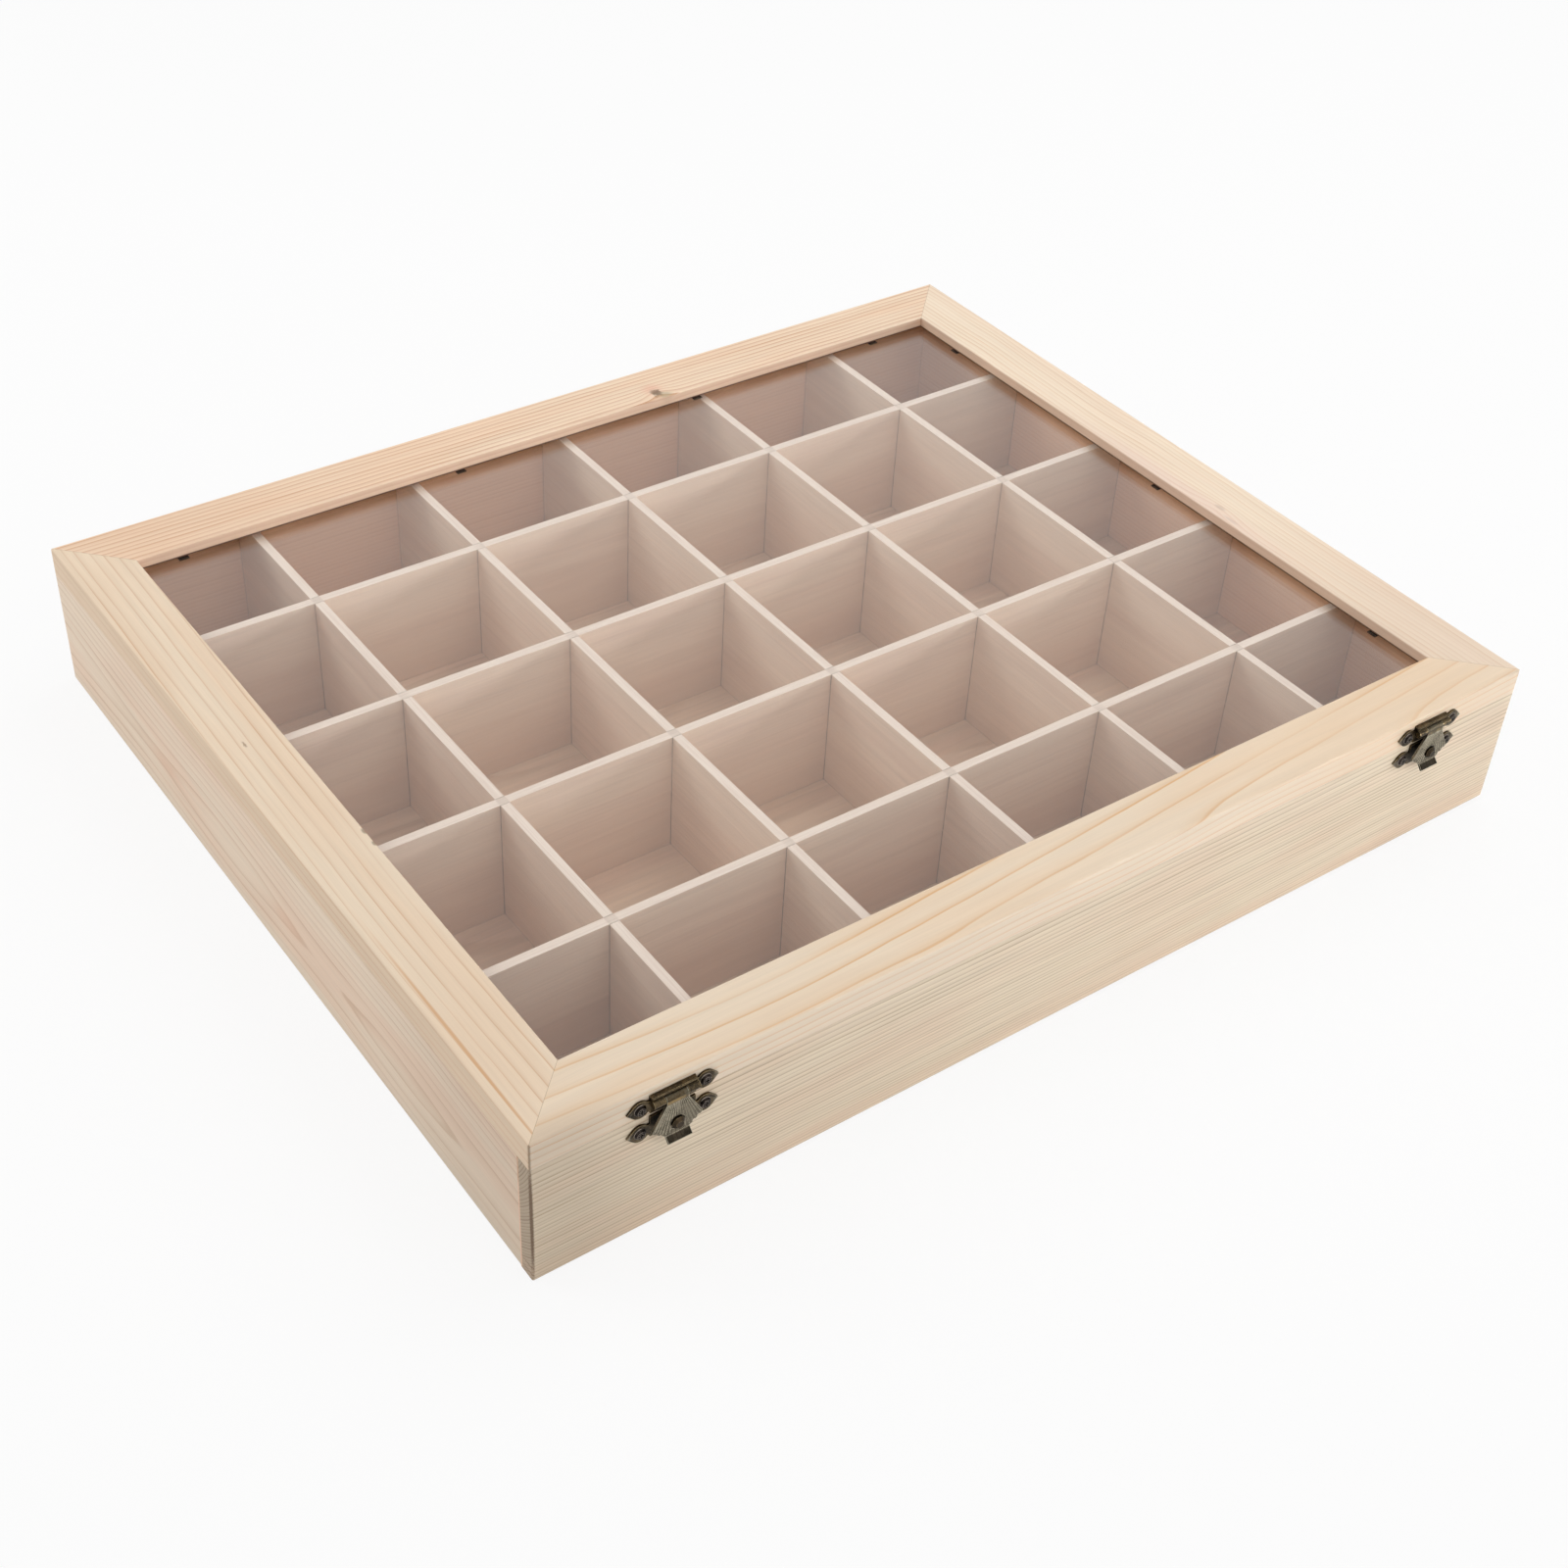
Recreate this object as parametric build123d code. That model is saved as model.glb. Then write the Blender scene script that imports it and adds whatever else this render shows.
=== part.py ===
from build123d import *
import math
import os

# A shallow pine collector's box: a rebated and butted tray with a half-lapped divider
# grid, and a mitred, glazed lid on two stop hinges, held shut by two small hook latches.
#
# Millimetres and degrees.  The origin is the middle of the underside.  X runs along the
# front from left to right, Y from front to back and Z up.

# ---- The box as a whole ----
BOX_LENGTH = 420.0          # outside, left to right
BOX_DEPTH = 350.0           # outside, front to back
BOX_HEIGHT = 60.0           # underside to the top of the closed lid
WALL = 7.0                  # thickness of the four wall boards
EDGE_EASE = 0.8             # sanded rounding of the long outer edges
SEAM_EASE = 0.35            # smaller rounding where lid and walls meet
CORNER_EASE = 1.1           # sanded rounding of the upright corners

# ---- Bottom ----
PANEL_THICKNESS = 3.0       # plywood, flush with the underside
PANEL_LET_IN = 3.5          # how far the panel is let into each wall
PANEL_CLEARANCE = 0.2       # between the panel's edge and its rebate

# ---- Divider grid ----
COLUMNS = 6                 # compartments from left to right
ROWS = 5                    # compartments from front to back
DIVIDER_THICKNESS = 3.5
DIVIDER_STAND = 2.8         # how far the dividers stand above the rim of the walls
OUTER_CELL_LOSS = 1.2       # how much narrower the compartments beside the walls are
LAP_CLEARANCE = 0.3         # extra width and depth of each half-lap slot
END_CLEARANCE = 0.3         # between a divider's end and the wall

# ---- Lid ----
LID_HEADROOM = 0.5          # between the dividers' tops and the lid's recess
TAB_LEDGE = 0.6             # wood left under the slots of the glazing tabs
TAB_THICKNESS = 0.4
GLASS_THICKNESS = 2.0
LIP_THICKNESS = 4.5         # wood over the glass
LIP_WIDTH = 8.0             # how far the lip reaches over the glass
SHELF_WIDTH = 9.0           # flat of the recess, between the rim and the glass rebate
GLASS_CLEARANCE = 0.5       # between the pane's edge and its rebate
LIP_EASE = 0.5              # rounding of the lip's edge around the glass
LID_OPENS = 105.0           # where the hinges' stops meet

# ---- Glazing tabs ----
TAB_WIDTH = 4.0
TAB_BITE = 5.0              # how deep a tab is driven into the wood
TAB_SHOW = 0.5              # how far a tab reaches past the lip
LONG_TAB_PLACES = (0.100, 0.383, 0.655, 0.879)   # along the front and back rails, as driven
SHORT_TAB_PLACES = (0.139, 0.514, 0.857)         # along the side rails

# ---- Wood screws ----
SCREW_HEAD_RADIUS = 2.1
SCREW_HEAD_TOP = 1.45       # radius of the flat on top of the sloping head
SCREW_HEAD_HEIGHT = 0.9
SCREW_SHANK_RADIUS = 0.9
SCREW_BITE = 4.5            # how deep a shank goes into the wood
SCREW_HOLE_CLEARANCE = 0.05
RECESS_SPAN = 2.4           # cross recess, tip to tip
RECESS_WIDTH = 0.55
RECESS_DEPTH = 0.45

# ---- Latches ----
LATCH_INSET = 48.0          # from the end of the box to the latch's middle
LATCH_SHEET = 0.8           # thickness of the latch's sheet brass
EAR_SCREW_REACH = 11.4      # from the latch's middle to each screw
EAR_TIP_REACH = 16.0        # from the latch's middle to the point of each ear
EAR_RADIUS = 3.3            # round part of an ear, about its screw
EAR_NECK = 4.2              # height of the plate between an ear and the middle part
PLATE_HALF_WIDTH = 8.0      # half the width of the middle part of both plates
UPPER_EAR_RISE = 4.1        # screws of the upper plate above the seam
UPPER_PLATE_FOOT = 0.9      # lower edge of the upper plate above the seam
LOWER_EAR_DROP = 5.9        # screws of the lower plate below the seam
LOWER_PLATE_TOP = 0.6       # upper edge of the lower plate below the seam
LOWER_PLATE_FOOT = 9.0      # lower edge of the lower plate below the seam
LATCH_AXIS_RISE = 5.3       # hinge pin above the seam
LATCH_AXIS_OUT = 2.0        # hinge pin out from the front face
LATCH_KNUCKLE_RADIUS = 1.35
LATCH_PIN_RADIUS = 0.65
LATCH_PIN_CLEARANCE = 0.05  # running fit of the flap on its pin
FLAP_NECK_HALF = 3.75       # half the width of the flap's knuckle
KNUCKLE_GAP = 0.25          # between neighbouring knuckles
WINDOW_GAP = 0.3            # around the flap's knuckle in the upper plate
BROW_THICKNESS = 0.9        # folded edge over the knuckles
BROW_CORNER = 0.9           # rounding of the brow's two outer corners
BROW_BEVEL = 0.3            # bevel along its upper edge
FLAP_SHOULDER_DROP = 5.4    # widest part of the flap below the seam
FLAP_SHOULDER_HALF = 9.0
FLAP_SHOULDER_EASE = 0.9
FLAP_FOOT_DROP = 9.0        # where the flap turns out into its finger lip
FLAP_FOOT_HALF = 4.2
FLAP_SCALLOPS = 2           # notches along each lower edge of the fan
FLAP_SCALLOP_RADIUS = 0.55
FINGER_REACH = 1.8          # finger lip out from the flap's face
FINGER_DROP = 1.9           # finger lip down from the flap's foot
HOOK_DROP = 4.9             # middle of the hook below the seam
HOOK_RADIUS = 2.2
HOOK_REACH = 4.9            # end of the hook out from the front face
HOOK_BEVEL = 0.9            # bevel around the hook's end
HOOK_CLEARANCE = 0.4        # window of the flap around the hook

# ---- Stop hinges ----
HINGE_INSET = 80.0          # from the end of the box to the hinge's middle
HINGE_SHEET = 0.8
HINGE_HALF_WIDTH = 13.0
HINGE_KNUCKLE_RADIUS = 1.8
HINGE_PIN_RADIUS = 0.9
HINGE_PIN_CLEARANCE = 0.05  # running fit of the lid's knuckles
HINGE_FACE_CLEARANCE = 0.1  # between the knuckles and the wood
END_KNUCKLE = 4.0           # length of each outer knuckle, on the box leaf
INNER_KNUCKLE = 3.8         # length of each inner knuckle, on the lid leaf
STOP_HALF_WIDTH = 4.4       # half the width of the stop flanges
STOP_REACH = 7.5            # from the pin's axis to the edge of a stop flange
STOP_SPARE = 0.5            # opening left between the stops at the lid's limit, degrees
PIN_GAP = 0.35              # between the pin and the root of a stop flange
BOX_LEAF_HEIGHT = 12.0
LID_LEAF_HEIGHT = 9.0
BOX_LEAF_SCREW = 7.4        # screws of the box leaf below the seam
LID_LEAF_SCREW = 5.8        # screws of the lid leaf above the seam
LEAF_SCREW_REACH = 8.5      # screws either side of the hinge's middle
LEAF_CORNER = 1.5
LEAF_KNUCKLE_GAP = 0.5      # between a knuckle and the notch of the other leaf

# ---- Sizes that follow ----
lid_recess = DIVIDER_STAND + LID_HEADROOM
lid_thickness = lid_recess + TAB_LEDGE + TAB_THICKNESS + GLASS_THICKNESS + LIP_THICKNESS
seam = BOX_HEIGHT - lid_thickness
shelf_z = seam + lid_recess
tab_z = shelf_z + TAB_LEDGE
glass_z = tab_z + TAB_THICKNESS
lip_z = glass_z + GLASS_THICKNESS
rebate_in = WALL + SHELF_WIDTH
rail_width = rebate_in + LIP_WIDTH
inner_length = BOX_LENGTH - 2 * WALL
inner_depth = BOX_DEPTH - 2 * WALL
divider_top = seam + DIVIDER_STAND
divider_height = divider_top - PANEL_THICKNESS
column_pitch = (inner_length + DIVIDER_THICKNESS + 2 * OUTER_CELL_LOSS) / COLUMNS
row_pitch = (inner_depth + DIVIDER_THICKNESS + 2 * OUTER_CELL_LOSS) / ROWS

# Each side of the box is drawn as a front side and turned into place:
# name, turn about Z, distance between opposite outer faces, outside length.
SIDES = (
    ("front", 0, BOX_DEPTH, BOX_LENGTH),
    ("right", 90, BOX_LENGTH, BOX_DEPTH),
    ("back", 180, BOX_DEPTH, BOX_LENGTH),
    ("left", -90, BOX_LENGTH, BOX_DEPTH),
)
nodes = {}


def block(x0, x1, y0, y1, z0, z1):
    """A box between two opposite corners."""
    middle = Pos((x0 + x1) / 2, (y0 + y1) / 2, (z0 + z1) / 2)
    return middle * Box(x1 - x0, y1 - y0, z1 - z0)


def outline(*points):
    """A flat face inside a closed run of straight lines."""
    return make_face(Polyline(*points, close=True))


def eased(face, spots, radius):
    """Round the corners of a flat face that lie at the given spots."""
    for spot in spots:
        corner = face.vertices().sort_by_distance(Vector(*spot))[0]
        face = fillet(corner, radius)
    return face


def across_x(face, x0, x1):
    """Run a face drawn as (y, z) from x0 to x1."""
    return Pos(x0, 0, 0) * extrude(Plane.YZ * face, amount=x1 - x0)


def eased_prism():
    """The whole box's plan with its four upright corners sanded round."""
    plan = RectangleRounded(BOX_LENGTH, BOX_DEPTH, CORNER_EASE)
    return extrude(plan, amount=BOX_HEIGHT)


# ---- Tray: four walls and the bottom panel ----
def panel_block(gap):
    """The bottom panel, or its pocket when the gap is its clearance."""
    half_x = inner_length / 2 + PANEL_LET_IN + gap
    half_y = inner_depth / 2 + PANEL_LET_IN + gap
    return block(-half_x, half_x, -half_y, half_y, 0, PANEL_THICKNESS)


def wall_board(across, x0, x1):
    """A wall drawn as the front one: an upright board with eased outer edges."""
    outer = -across / 2
    inner = outer + WALL
    section = outline((outer, 0), (inner, 0), (inner, seam), (outer, seam))
    section = eased(section, [(outer, 0)], EDGE_EASE)
    section = eased(section, [(outer, seam)], SEAM_EASE)
    return across_x(section, x0, x1)


# How a board's ends meet its neighbours, left and right as seen from outside: 1 where it
# stops against the next board.  The front runs the full length, the sides butt against it
# and run to the back, and the back board stands between them.
BUTTED_ENDS = {"front": (0, 0), "right": (1, 0), "back": (1, 1), "left": (0, 1)}

for name, turn, across, length in SIDES:
    left_end, right_end = BUTTED_ENDS[name]
    board = wall_board(across, left_end * WALL - length / 2, length / 2 - right_end * WALL)
    board = Rot(0, 0, turn) * board
    nodes[name + "_wall"] = (board & eased_prism()) - panel_block(PANEL_CLEARANCE)

nodes["bottom_panel"] = panel_block(0)


# ---- Divider grid: boards crossing in half laps ----
def divider(length, pitch, crossings, slot_from_top):
    """A divider along X, slotted halfway through at each crossing."""
    board = block(-length / 2, length / 2, -DIVIDER_THICKNESS / 2, DIVIDER_THICKNESS / 2,
                  PANEL_THICKNESS, divider_top)
    slot_width = DIVIDER_THICKNESS + LAP_CLEARANCE
    slot_height = divider_height / 2 + LAP_CLEARANCE
    slot_z = divider_top - slot_height if slot_from_top else PANEL_THICKNESS
    for crossing in range(crossings):
        slot_x = (crossing - (crossings - 1) / 2) * pitch
        board -= block(slot_x - slot_width / 2, slot_x + slot_width / 2,
                       -DIVIDER_THICKNESS, DIVIDER_THICKNESS, slot_z, slot_z + slot_height)
    return board


# Long dividers run left to right and drop over the cross dividers.
for row in range(ROWS - 1):
    place = Pos(0, (row - (ROWS - 2) / 2) * row_pitch, 0)
    board = divider(inner_length - 2 * END_CLEARANCE, column_pitch, COLUMNS - 1, False)
    nodes["long_divider_%d" % (row + 1)] = place * board

for column in range(COLUMNS - 1):
    place = Pos((column - (COLUMNS - 2) / 2) * column_pitch, 0, 0) * Rot(0, 0, 90)
    board = divider(inner_depth - 2 * END_CLEARANCE, row_pitch, ROWS - 1, True)
    nodes["cross_divider_%d" % (column + 1)] = place * board


# ---- Lid: mitred rails, rebated underneath, the pane and its tabs ----
def lid_rail(across, length):
    """A rail drawn as the front one, stepped underneath and mitred at both ends."""
    outer = -across / 2
    section = outline(
        (outer, seam), (outer + WALL, seam), (outer + WALL, shelf_z),
        (outer + rebate_in, shelf_z), (outer + rebate_in, lip_z),
        (outer + rail_width, lip_z), (outer + rail_width, BOX_HEIGHT), (outer, BOX_HEIGHT))
    section = eased(section, [(outer, BOX_HEIGHT)], EDGE_EASE)
    section = eased(section, [(outer, seam)], SEAM_EASE)
    section = eased(section, [(outer + rail_width, BOX_HEIGHT)], LIP_EASE)
    bar = across_x(section, -length / 2, length / 2)
    mitred_plan = outline(
        (-length / 2, outer), (length / 2, outer),
        (length / 2 - rail_width, outer + rail_width),
        (-length / 2 + rail_width, outer + rail_width))
    return bar & extrude(mitred_plan, amount=BOX_HEIGHT)


def tab_blocks(across, length, places):
    """The tabs of one rail: flat strips driven into the rebate's side, under the glass."""
    outer = -across / 2
    strips = []
    for share in places:
        x = -length / 2 + share * length
        strips.append(block(x - TAB_WIDTH / 2, x + TAB_WIDTH / 2,
                            outer + rebate_in - TAB_BITE, outer + rail_width + TAB_SHOW,
                            tab_z, glass_z))
    return strips


tabs = []
for name, turn, across, length in SIDES:
    places = LONG_TAB_PLACES if name in ("front", "back") else SHORT_TAB_PLACES
    if turn > 0:
        places = [1 - share for share in places]
    strips = [Rot(0, 0, turn) * strip for strip in tab_blocks(across, length, places)]
    rail = Rot(0, 0, turn) * lid_rail(across, length) & eased_prism()
    for strip in strips:
        rail -= strip
    nodes["lid_rail_" + name] = rail
    tabs += strips

nodes["glazing_tabs"] = Compound(children=tabs)

pane_half_x = BOX_LENGTH / 2 - rebate_in - GLASS_CLEARANCE
pane_half_y = BOX_DEPTH / 2 - rebate_in - GLASS_CLEARANCE
nodes["glass_pane"] = block(-pane_half_x, pane_half_x, -pane_half_y, pane_half_y,
                            glass_z, lip_z)


# ---- Fittings ----
# A fitting is drawn flat on its wall: X along the wall, Y up from the seam and Z out
# from the wood.  The latches sit on the front, the hinges on the back.
def on_front(x):
    """Where a front fitting goes, x from the middle of the box."""
    return Plane(origin=(x, -BOX_DEPTH / 2, seam), x_dir=(1, 0, 0), z_dir=(0, -1, 0)).location


def on_back(x):
    """Where a back fitting goes, x from the middle of the box."""
    return Plane(origin=(x, BOX_DEPTH / 2, seam), x_dir=(-1, 0, 0), z_dir=(0, 1, 0)).location


def rod(x0, x1, y, z, radius):
    """A round rod along X about the line at (y, z)."""
    return across_x(Pos(y, z) * Circle(radius), x0, x1)


def screw_head():
    """The sloping head of a small wood screw, with a cross recess, resting on z = 0."""
    head = Cone(SCREW_HEAD_RADIUS, SCREW_HEAD_TOP, SCREW_HEAD_HEIGHT,
                align=(Align.CENTER, Align.CENTER, Align.MIN))
    arm = Rectangle(RECESS_SPAN, RECESS_WIDTH)
    cross = arm + Rot(0, 0, 90) * arm
    head -= Pos(0, 0, SCREW_HEAD_HEIGHT - RECESS_DEPTH) * extrude(cross, amount=RECESS_DEPTH)
    return head


def screw_on_sheet(x, y, sheet):
    """A screw through a fitting of the given sheet, at (x, y)."""
    shank = extrude(Circle(SCREW_SHANK_RADIUS), amount=SCREW_BITE + sheet)
    whole = Pos(0, 0, sheet) * screw_head() + Pos(0, 0, -SCREW_BITE) * shank
    return Pos(x, y, 0) * whole


def screw_hole(x, y, sheet):
    """The hole of that screw, through the sheet and into the wood."""
    hole = extrude(Circle(SCREW_SHANK_RADIUS + SCREW_HOLE_CLEARANCE), amount=SCREW_BITE + sheet)
    return Pos(x, y, -SCREW_BITE) * hole


# ---- Latches ----
def eared_plate(foot, top, ear_y):
    """A latch plate: a square middle with a round, pointed ear at each side."""
    middle = Pos(0, (foot + top) / 2) * Rectangle(2 * PLATE_HALF_WIDTH, top - foot)
    face = middle + Pos(0, ear_y) * Rectangle(2 * EAR_SCREW_REACH, EAR_NECK)
    swing = math.acos(EAR_RADIUS / (EAR_TIP_REACH - EAR_SCREW_REACH))
    touch_x = EAR_SCREW_REACH + EAR_RADIUS * math.cos(swing)
    touch_y = EAR_RADIUS * math.sin(swing)
    for side in (-1, 1):
        face += Pos(side * EAR_SCREW_REACH, ear_y) * Circle(EAR_RADIUS)
        face += Pos(0, ear_y) * outline(
            (side * EAR_SCREW_REACH, 0), (side * touch_x, -touch_y),
            (side * EAR_TIP_REACH, 0), (side * touch_x, touch_y))
    return extrude(face, amount=LATCH_SHEET)


def latch_brow(foot, top):
    """The folded edge over the knuckles, its corners rounded and its upper edge bevelled."""
    half, out = PLATE_HALF_WIDTH, LATCH_AXIS_OUT
    plan = outline((-half, 0), (half, 0), (half, out), (-half, out))
    plan = eased(plan, [(-half, out), (half, out)], BROW_CORNER)
    brow = Pos(0, top, 0) * Rot(90, 0, 0) * extrude(plan, amount=top - foot)
    upper_edges = brow.edges().group_by(Axis.Y)[-1].sort_by(Axis.Z)[1:]
    return chamfer(upper_edges, BROW_BEVEL)


def latch_plate():
    """The upper plate: it carries the pin in two knuckles under a folded brow."""
    window_half = FLAP_NECK_HALF + KNUCKLE_GAP
    brow_foot = LATCH_AXIS_RISE + LATCH_KNUCKLE_RADIUS + WINDOW_GAP
    brow_top = brow_foot + BROW_THICKNESS
    plate = eared_plate(UPPER_PLATE_FOOT, brow_top, UPPER_EAR_RISE)
    plate += latch_brow(brow_foot, brow_top)
    for x0, x1 in ((-PLATE_HALF_WIDTH, -window_half), (window_half, PLATE_HALF_WIDTH)):
        plate += rod(x0, x1, LATCH_AXIS_RISE, LATCH_AXIS_OUT, LATCH_KNUCKLE_RADIUS)
        plate += block(x0, x1, LATCH_AXIS_RISE, brow_foot, 0, LATCH_AXIS_OUT)
    plate -= block(-window_half, window_half,
                   LATCH_AXIS_RISE - LATCH_KNUCKLE_RADIUS - WINDOW_GAP, brow_foot,
                   0, LATCH_AXIS_OUT)
    return plate - rod(-PLATE_HALF_WIDTH, PLATE_HALF_WIDTH, LATCH_AXIS_RISE, LATCH_AXIS_OUT,
                       LATCH_PIN_RADIUS)


def latch_flap():
    """The flap: a knuckle, a fan-shaped face with the hook's window, and a finger lip."""
    face_out = LATCH_AXIS_OUT + LATCH_KNUCKLE_RADIUS
    face_in = face_out - LATCH_SHEET
    shoulders = [(side * FLAP_SHOULDER_HALF, -FLAP_SHOULDER_DROP) for side in (-1, 1)]
    fan = outline(
        (-FLAP_NECK_HALF, LATCH_AXIS_RISE), (FLAP_NECK_HALF, LATCH_AXIS_RISE),
        (FLAP_NECK_HALF, LATCH_AXIS_RISE - LATCH_KNUCKLE_RADIUS), shoulders[1],
        (FLAP_FOOT_HALF, -FLAP_FOOT_DROP), (-FLAP_FOOT_HALF, -FLAP_FOOT_DROP), shoulders[0],
        (-FLAP_NECK_HALF, LATCH_AXIS_RISE - LATCH_KNUCKLE_RADIUS))
    fan = eased(fan, shoulders, FLAP_SHOULDER_EASE)
    for notch in range(FLAP_SCALLOPS):
        share = (notch + 1) / (FLAP_SCALLOPS + 1)
        notch_x = FLAP_SHOULDER_HALF + share * (FLAP_FOOT_HALF - FLAP_SHOULDER_HALF)
        notch_y = -FLAP_SHOULDER_DROP + share * (FLAP_SHOULDER_DROP - FLAP_FOOT_DROP)
        for side in (-1, 1):
            fan -= Pos(side * notch_x, notch_y) * Circle(FLAP_SCALLOP_RADIUS)
    flap = Pos(0, 0, face_in) * extrude(fan, amount=LATCH_SHEET)
    slant = LATCH_SHEET / math.hypot(FINGER_REACH, FINGER_DROP)
    tip_y, tip_out = -FLAP_FOOT_DROP - FINGER_DROP, face_out + FINGER_REACH
    finger_lip = outline(
        (-FLAP_FOOT_DROP, face_in), (-FLAP_FOOT_DROP, face_out), (tip_y, tip_out),
        (tip_y - slant * FINGER_REACH, tip_out - slant * FINGER_DROP))
    flap += across_x(finger_lip, -FLAP_FOOT_HALF, FLAP_FOOT_HALF)
    flap += rod(-FLAP_NECK_HALF, FLAP_NECK_HALF, LATCH_AXIS_RISE, LATCH_AXIS_OUT,
                LATCH_KNUCKLE_RADIUS)
    flap -= rod(-FLAP_NECK_HALF, FLAP_NECK_HALF, LATCH_AXIS_RISE, LATCH_AXIS_OUT,
                LATCH_PIN_RADIUS + LATCH_PIN_CLEARANCE)
    window = extrude(Circle(HOOK_RADIUS + HOOK_CLEARANCE), amount=LATCH_SHEET)
    return flap - Pos(0, -HOOK_DROP, face_in) * window


def catch_plate():
    """The lower plate, with the round hook that stands through the flap's window."""
    hook = extrude(Circle(HOOK_RADIUS), amount=HOOK_REACH)
    hook = chamfer(hook.edges().group_by(Axis.Z)[-1], HOOK_BEVEL)
    return eared_plate(-LOWER_PLATE_FOOT, -LOWER_PLATE_TOP, -LOWER_EAR_DROP) + (
        Pos(0, -HOOK_DROP, 0) * hook)


latch_screws = []
catch_screws = []
LATCH_SIDES = (("left", -BOX_LENGTH / 2 + LATCH_INSET), ("right", BOX_LENGTH / 2 - LATCH_INSET))
for side_name, x in LATCH_SIDES:
    place = on_front(x)
    upper = latch_plate()
    lower = catch_plate()
    for reach in (-EAR_SCREW_REACH, EAR_SCREW_REACH):
        upper_hole = screw_hole(reach, UPPER_EAR_RISE, LATCH_SHEET)
        lower_hole = screw_hole(reach, -LOWER_EAR_DROP, LATCH_SHEET)
        upper -= upper_hole
        lower -= lower_hole
        nodes["lid_rail_front"] -= place * upper_hole
        nodes["front_wall"] -= place * lower_hole
        latch_screws.append(place * screw_on_sheet(reach, UPPER_EAR_RISE, LATCH_SHEET))
        catch_screws.append(place * screw_on_sheet(reach, -LOWER_EAR_DROP, LATCH_SHEET))
    pin = rod(-PLATE_HALF_WIDTH, PLATE_HALF_WIDTH, LATCH_AXIS_RISE, LATCH_AXIS_OUT,
              LATCH_PIN_RADIUS)
    nodes[side_name + "_latch_plate"] = place * upper
    nodes[side_name + "_latch_pin"] = place * pin
    nodes[side_name + "_latch_flap"] = place * latch_flap()
    nodes[side_name + "_catch_plate"] = place * lower
nodes["latch_screws"] = Compound(children=latch_screws)
nodes["catch_screws"] = Compound(children=catch_screws)


# ---- Stop hinges ----
hinge_axis_out = HINGE_KNUCKLE_RADIUS + HINGE_FACE_CLEARANCE
inner_start = HINGE_HALF_WIDTH - END_KNUCKLE - KNUCKLE_GAP
END_ZONES = ((-HINGE_HALF_WIDTH, -HINGE_HALF_WIDTH + END_KNUCKLE),
             (HINGE_HALF_WIDTH - END_KNUCKLE, HINGE_HALF_WIDTH))
INNER_ZONES = ((-inner_start, -inner_start + INNER_KNUCKLE),
               (inner_start - INNER_KNUCKLE, inner_start))


def stop_flange(way):
    """The middle tongue of a leaf, bent out past the pin; the two meet when the lid is open."""
    lean = math.radians((LID_OPENS + STOP_SPARE) / 2)
    root = HINGE_PIN_RADIUS + PIN_GAP
    notch = HINGE_KNUCKLE_RADIUS + LEAF_KNUCKLE_GAP

    def at(distance, behind):
        """A point along the flange's stop face, or behind it through its thickness."""
        up = distance * math.sin(lean) + behind * math.cos(lean)
        out = hinge_axis_out + distance * math.cos(lean) - behind * math.sin(lean)
        return way * up, out

    tongue = outline(
        (way * notch, 0), (way * root, 0), at(root, 0), at(STOP_REACH, 0),
        at(STOP_REACH, HINGE_SHEET), at(root, HINGE_SHEET), (way * notch, HINGE_SHEET))
    return across_x(tongue, -STOP_HALF_WIDTH, STOP_HALF_WIDTH)


def hinge_leaf(way, height, zones, bore_radius, screw_y):
    """A leaf on its wall: way is +1 for the lid's, above the seam, and -1 for the box's."""
    notch = HINGE_KNUCKLE_RADIUS + LEAF_KNUCKLE_GAP
    flat = outline((-HINGE_HALF_WIDTH, way * notch), (HINGE_HALF_WIDTH, way * notch),
                   (HINGE_HALF_WIDTH, way * height), (-HINGE_HALF_WIDTH, way * height))
    flat = eased(flat, [(side * HINGE_HALF_WIDTH, way * height) for side in (-1, 1)],
                 LEAF_CORNER)
    leaf = extrude(flat, amount=HINGE_SHEET, dir=(0, 0, 1))
    for x0, x1 in zones:
        leaf += block(x0, x1, min(0, way * notch), max(0, way * notch), 0, HINGE_SHEET)
        leaf += rod(x0, x1, 0, hinge_axis_out, HINGE_KNUCKLE_RADIUS)
    for x0, x1 in zones:
        leaf -= rod(x0, x1, 0, hinge_axis_out, bore_radius)
    leaf += stop_flange(way)
    for reach in (-LEAF_SCREW_REACH, LEAF_SCREW_REACH):
        leaf -= screw_hole(reach, screw_y, HINGE_SHEET)
    return leaf


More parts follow.
